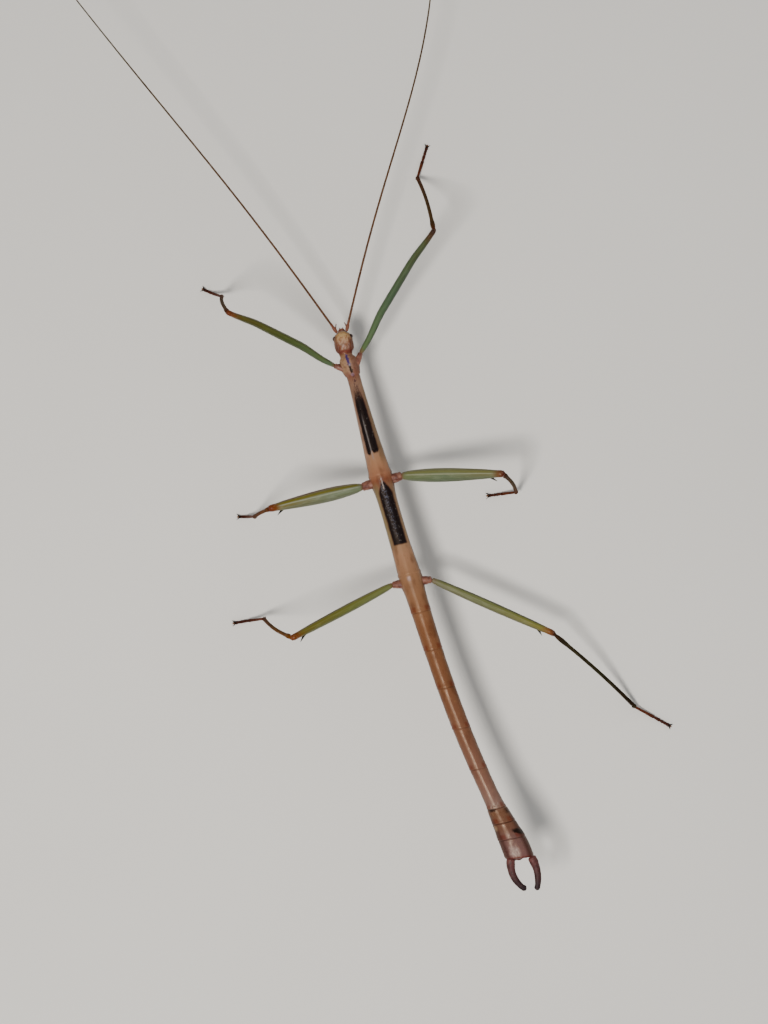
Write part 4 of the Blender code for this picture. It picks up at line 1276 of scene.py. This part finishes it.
def footShells(leg, sign, ankle, shin, ahead):
    # Five joints in a row, each widening to a soft pad beneath its outer end; the last is long and bare.
    length = leg["tarsus"]
    joints = np.array(limb["footJoints"])
    distance, cap = spread(length * 0.985, 0.14, 0.16, 0.13, joints[1:-1] * length, 0.03, 0.28)
    share = distance / length
    line = footLine(leg, ankle, shin, ahead, distance)
    index = np.searchsorted(joints, share, "right").clip(1, len(joints) - 1) - 1
    within = np.clip((share - joints[index]) / (joints[index + 1] - joints[index]), 0, 1)
    nick = sum(bell(share, joint, 0.016) for joint in joints[1:-1])
    width = limb["tarsusRadius"] * (0.74 + 0.22 * within ** 1.6 + 0.10 * share - 0.26 * nick)
    width = width * cap
    angle = anglesOf(28)
    form = 1 + 0.05 * np.cos(2 * angle)
    shells = [tubeShell(line, width[:, None] * form, up, flat=0.95, mirror=sign)]
    for joint in joints[1:-1]:
        spot = footLine(leg, ankle, shin, ahead, np.array([length * (joint - 0.035), length * joint]))
        aim = unit(spot[1] - spot[0])
        under = squareTo(aim, -up)
        pad = ovalShell(spot[0] + under * 0.15, aim, under, limb["pad"], 12, 18, 2.2, tone=0.4)
        shells.append(moved(pad, length * (joint - 0.035)))
    heel = footLine(leg, ankle, shin, ahead, np.array([length * 0.955]))[0]
    middle = heel + ahead * 0.36 - up * 0.05
    shells.append(ovalShell(middle, ahead, up, limb["heel"], 14, 20, 2.3, tone=0.4))
    shells += clawShells(heel, ahead)
    for shell in shells:
        shell["points"][:, 2] = np.maximum(shell["points"][:, 2], -shift[2])
    return shells


def coxaFinish():
    paint = Paint("hipCuticle", {"Specular IOR Level": 0.3})
    cloud = paint.noise(1.3)
    paint.colour = paint.blend(ink(176, 122, 104), ink(122, 70, 60), paint.step(cloud, 0.40, 0.64))
    paint.coat((214, 182, 164), paint.step(paint.noise(2.6), 0.56, 0.70) * 0.5)
    # Painted shade: the hip is darker on its underside.
    paint.coat((70, 34, 30), paint.fall(paint.top, -0.5, 0.4) * 0.6)
    return paint.done(0.36 + cloud * 0.2, paint.grain(4.5, 0.025))


def femurFinish(name, look, leg):
    # Along the limb: hip colour, green shaft, reddish knee. Across it: bands that follow the keels.
    paint = Paint(name, {"Specular IOR Level": 0.18})
    coat, step, band = paint.coat, paint.step, paint.band
    share = paint.along / leg["femur"]
    cloud = paint.noise(0.9, stretch=(1.0, 0.6, 1.0))
    streak = paint.noise(1.0, place=paint.unrolled(3.2, 0.35))
    paint.colour = paint.ramp(share + (cloud - 0.5) * 0.05, [
        (0.0, *look["root"]), (0.05, *look["near"]), (0.45, *look["shaft"]),
        (0.88, *look["far"]), (0.955, *look["knee"]), (1.0, *look["cap"])])
    shaft = paint.span(share, 0.02, 0.09, 0.86, 0.95)
    coat(look["pale"], step(streak, 0.46, 0.66) * shaft * look["streaks"])
    # across over radius: 1 at the edge that faces the head, -1 at the one that faces the tail
    swell = leg["femurRadii"][1] * (0.62 + 0.38 * band(share, leg["fullest"], 0.0, 0.62))
    edge = paint.across / swell
    fore = band(edge, 0.62, 0.16, 0.42) * shaft * step(paint.top, 0.0, 0.3)
    coat(look["foreBand"], fore * look["bands"])
    rim = step(edge, 0.72, 0.95) * shaft
    coat(look["rim"], rim * look["rims"])
    rear = paint.fall(edge, -0.80, -0.25) * shaft
    coat(look["rear"], rear * 0.55)
    # A pale line along the upper keel, which also stands in as a painted highlight along the thigh.
    paleKeelAndHighlight = band(edge, 0.12, 0.03, 0.17) * shaft * step(paint.top, 0.2, 0.6)
    coat(look["paleKeelAndHighlight"], paleKeelAndHighlight * look["keels"])
    speck = paint.noise(5.5)
    coat((96, 60, 36), step(speck, 0.60, 0.72) * 0.45)
    kneeSpeck = step(paint.noise(3.4, 3.0), 0.56, 0.66) * step(share, 0.88, 0.97)
    coat((214, 186, 160), kneeSpeck * 0.35)
    coat((18, 12, 11), step(paint.tone, 0.5, 0.9))
    rough = 0.36 + cloud * 0.12 + (speck - 0.5) * 0.12
    return paint.done(rough, (streak - 0.5) * 0.02 + paint.grain(8.0, 0.014))


def tibiaFinish(name, look, length):
    paint = Paint(name, {"Specular IOR Level": 0.02})
    coat, step = paint.coat, paint.step
    share = paint.along / length
    cloud = paint.noise(1.0, stretch=(1.0, 0.6, 1.0))
    streak = paint.noise(1.0, place=paint.unrolled(4.0, 0.4))
    paint.colour = paint.ramp(share, [
        (0.0, *look["knee"]), (0.10, *look["upper"]), (0.55, *look["shaft"]),
        (0.93, *look["ankle"]), (1.0, *look["ankle"])])
    coat(look["dark"], step(cloud, 0.44, 0.66) * 0.55)
    coat(look["pale"], step(streak, 0.52, 0.70) * 0.45)
    coat((24, 15, 12), step(paint.tone, 0.5, 0.9))
    return paint.done(0.55 + cloud * 0.18, (streak - 0.5) * 0.03)


def tarsusFinish():
    # Reddish brown joints, darker outward, pale pads and black claws.
    paint = Paint("footCuticle", {"Specular IOR Level": 0.08})
    cloud = paint.noise(1.6)
    paint.colour = paint.blend(ink(122, 66, 46), ink(86, 44, 32), paint.step(paint.along, 1.0, 6.0))
    paint.coat((58, 30, 22), paint.step(cloud, 0.46, 0.64) * 0.7)
    paint.coat((150, 110, 84), paint.band(paint.tone, 0.4, 0.05, 0.2) * 0.7)
    paint.coat((22, 14, 12), paint.step(paint.tone, 0.7, 0.95))
    return paint.done(0.36 + cloud * 0.2, paint.grain(6.0, 0.03))


looks = {
    ("Front", "left"): {
        "root": (156, 92, 58), "near": (114, 140, 104), "shaft": (92, 106, 58), "far": (110, 94, 42),
        "knee": (140, 82, 38), "cap": (124, 60, 34), "pale": (122, 134, 66), "foreBand": (104, 110, 44),
        "rim": (82, 70, 34), "rear": (66, 80, 34), "paleKeelAndHighlight": (134, 142, 78),
        "streaks": 0.35, "bands": 0.4, "rims": 0.4, "keels": 0.35,
    },
    ("Front", "right"): {
        "root": (150, 100, 80), "near": (116, 140, 92), "shaft": (88, 112, 84), "far": (92, 94, 54),
        "knee": (92, 64, 40), "cap": (68, 40, 32), "pale": (120, 142, 110), "foreBand": (94, 120, 82),
        "rim": (68, 86, 56), "rear": (58, 80, 58), "paleKeelAndHighlight": (128, 148, 116),
        "streaks": 0.35, "bands": 0.4, "rims": 0.4, "keels": 0.35,
    },
    ("Mid", "left"): {
        "root": (150, 98, 74), "near": (158, 172, 136), "shaft": (158, 166, 134), "far": (152, 138, 84),
        "knee": (150, 84, 42), "cap": (128, 56, 32), "pale": (200, 208, 182), "foreBand": (146, 136, 50),
        "rim": (112, 58, 28), "rear": (104, 112, 76), "paleKeelAndHighlight": (214, 220, 190),
        "streaks": 0.45, "bands": 0.9, "rims": 0.85, "keels": 0.75,
    },
    ("Mid", "right"): {
        "root": (156, 118, 92), "near": (140, 150, 108), "shaft": (128, 142, 110), "far": (136, 132, 92),
        "knee": (142, 98, 66), "cap": (104, 38, 28), "pale": (172, 180, 146), "foreBand": (152, 150, 88),
        "rim": (118, 112, 40), "rear": (104, 122, 92), "paleKeelAndHighlight": (206, 208, 172),
        "streaks": 0.45, "bands": 0.7, "rims": 0.7, "keels": 0.7,
    },
    ("Hind", "left"): {
        "root": (150, 96, 70), "near": (154, 162, 106), "shaft": (136, 142, 78), "far": (132, 116, 56),
        "knee": (144, 84, 36), "cap": (132, 66, 30), "pale": (166, 170, 108), "foreBand": (142, 138, 58),
        "rim": (94, 78, 32), "rear": (108, 118, 80), "paleKeelAndHighlight": (166, 166, 104),
        "streaks": 0.4, "bands": 0.5, "rims": 0.6, "keels": 0.4,
    },
    ("Hind", "right"): {
        "root": (150, 128, 104), "near": (142, 140, 104), "shaft": (132, 138, 92), "far": (154, 146, 70),
        "knee": (156, 98, 56), "cap": (110, 56, 38), "pale": (172, 174, 132), "foreBand": (130, 138, 74),
        "rim": (74, 76, 34), "rear": (120, 120, 88), "paleKeelAndHighlight": (176, 178, 138),
        "streaks": 0.4, "bands": 0.5, "rims": 0.8, "keels": 0.4,
    },
}
brownShin = {"knee": (104, 52, 34), "upper": (112, 80, 46), "shaft": (104, 76, 46), "ankle": (112, 62, 40),
             "dark": (58, 40, 26), "pale": (148, 116, 78)}
shinLooks = {
    ("Front", "left"): brownShin,
    ("Front", "right"): brownShin,
    ("Mid", "left"): {**brownShin, "upper": (140, 84, 44), "shaft": (128, 74, 40)},
    ("Mid", "right"): {**brownShin, "upper": (104, 74, 60), "shaft": (112, 90, 66)},
    ("Hind", "left"): {**brownShin, "knee": (150, 84, 36), "upper": (150, 96, 44), "shaft": (138, 92, 48)},
    ("Hind", "right"): {"knee": (92, 56, 40), "upper": (66, 56, 40), "shaft": (60, 56, 36),
                        "ankle": (58, 42, 28), "dark": (34, 30, 22), "pale": (104, 96, 66)},
}
hipCuticle, footCuticle = coxaFinish(), tarsusFinish()
for (pair, sideName), pose in poses.items():
    leg = legs[pair]
    sign = signs[sideName]
    node = f"leg_{pair.lower()}_{sideName}"
    hip = beside(leg["station"] + pose["hipBack"], sign * leg["offset"], leg["lift"])
    thigh = aimed(sign, *pose["femur"])
    shin = aimed(sign, *pose["tibia"])
    ahead = aimed(sign, pose["tarsus"], 0.0)
    knee = hip + thigh * leg["femur"]
    ankle = knee + shin * leg["tibia"]
    # for each joint: the piece's name, its slot, its shells and its finish
    skins = {
        "coxa": ("hip", "coxa", [coxaShell(leg, sign, hip)], hipCuticle),
        "femur": ("thigh", "femur_front" if pair == "Front" else "femur_rear",
                  femurShells(leg, sign, hip, knee, thigh, shin),
                  femurFinish(f"{sideName}{pair}Thigh", looks[pair, sideName], leg)),
        "tibia": ("shin", "tibia", tibiaShells(leg, sign, knee, ankle, thigh, shin),
                  tibiaFinish(f"{sideName}{pair}Shin", shinLooks[pair, sideName], leg["tibia"])),
        "tarsus": ("foot", "tarsus", footShells(leg, sign, ankle, shin, ahead), footCuticle),
    }
    for joint, (part, slotName, shells, finish) in skins.items():
        makePiece(f"{node}_{part}", shells, finish, slotName, f"{node}_{joint}")
print("six legs are on")


# The floor, the lights and the camera.

stand = {"half": 0.9, "below": 0.00003, "pale": (0.80, 0.78, 0.74, 1.0), "shade": (0.72, 0.70, 0.66, 1.0)}
lit = 45.0  # the station that the lamps face
lamps = {
    "key": {"at": (140, 60, 478), "wide": 0.10, "watts": 2.5, "tint": (1.0, 0.96, 0.91)},
    "fill": {"at": (-300, -120, 340), "wide": 0.60, "watts": 0.55, "tint": (0.94, 0.97, 1.0)},
    "back": {"at": (40, 420, 260), "wide": 0.40, "watts": 0.45, "tint": (1.0, 1.0, 1.0)},
}
sky = {"tint": (1.0, 1.0, 1.0, 1.0), "strength": 0.22}
camera = {"over": (3.24, 33.57), "height": 420.0, "lens": 79.17, "sensor": 36.0, "turn": 18.72}


def floorPiece():
    paint = Paint("paleFloor", {"Roughness": 0.75})
    paint.colour = paint.blend(stand["pale"], stand["shade"], paint.noise(0.012, 3.0))
    material = paint.done(None, paint.grain(1.2, 0.02, 3.0))
    half = stand["half"]
    corners = [(x * half, y * half, -stand["below"]) for x, y in ((-1, -1), (1, -1), (1, 1), (-1, 1))]
    mesh = bpy.data.meshes.new("floor")
    mesh.from_pydata(corners, [], [(0, 1, 2, 3)])
    mesh.materials.append(material)
    floor = bpy.data.objects.new("floor", mesh)
    bpy.context.scene.collection.objects.link(floor)


def aimAt(thing, place, target):
    # Stands a lamp at its place with its face toward the target.
    thing.location = place
    thing.rotation_euler = (Vector(target) - Vector(place)).to_track_quat("-Z", "Y").to_euler()


def addLamps():
    middle = (axisAt(lit) + shift) * mm
    for name, lamp in lamps.items():
        data = bpy.data.lights.new(name, "AREA")
        data.shape = "DISK"
        data.size = lamp["wide"]
        data.energy = lamp["watts"]
        data.color = lamp["tint"]
        light = bpy.data.objects.new(name, data)
        bpy.context.scene.collection.objects.link(light)
        aimAt(light, tuple(middle + np.array(lamp["at"]) * mm), tuple(middle))
        light.visible_glossy = name == "key"
    world = bpy.data.worlds.new("studio")
    bpy.context.scene.world = world
    world.use_nodes = True
    background = world.node_tree.nodes["Background"]
    background.inputs["Color"].default_value = sky["tint"]
    background.inputs["Strength"].default_value = sky["strength"]


def addCamera():
    data = bpy.data.cameras.new("overhead")
    data.lens = camera["lens"]
    data.sensor_width = camera["sensor"]
    data.clip_start = 0.01
    view = bpy.data.objects.new("overhead", data)
    across, along = camera["over"]
    view.location = ((across + shift[0]) * mm, (along + shift[1]) * mm, camera["height"] * mm)
    view.rotation_euler = (0.0, 0.0, np.radians(180 - camera["turn"]))
    bpy.context.scene.collection.objects.link(view)
    bpy.context.scene.camera = view


floorPiece()
addLamps()
addCamera()
print("the floor, lights and camera are set")
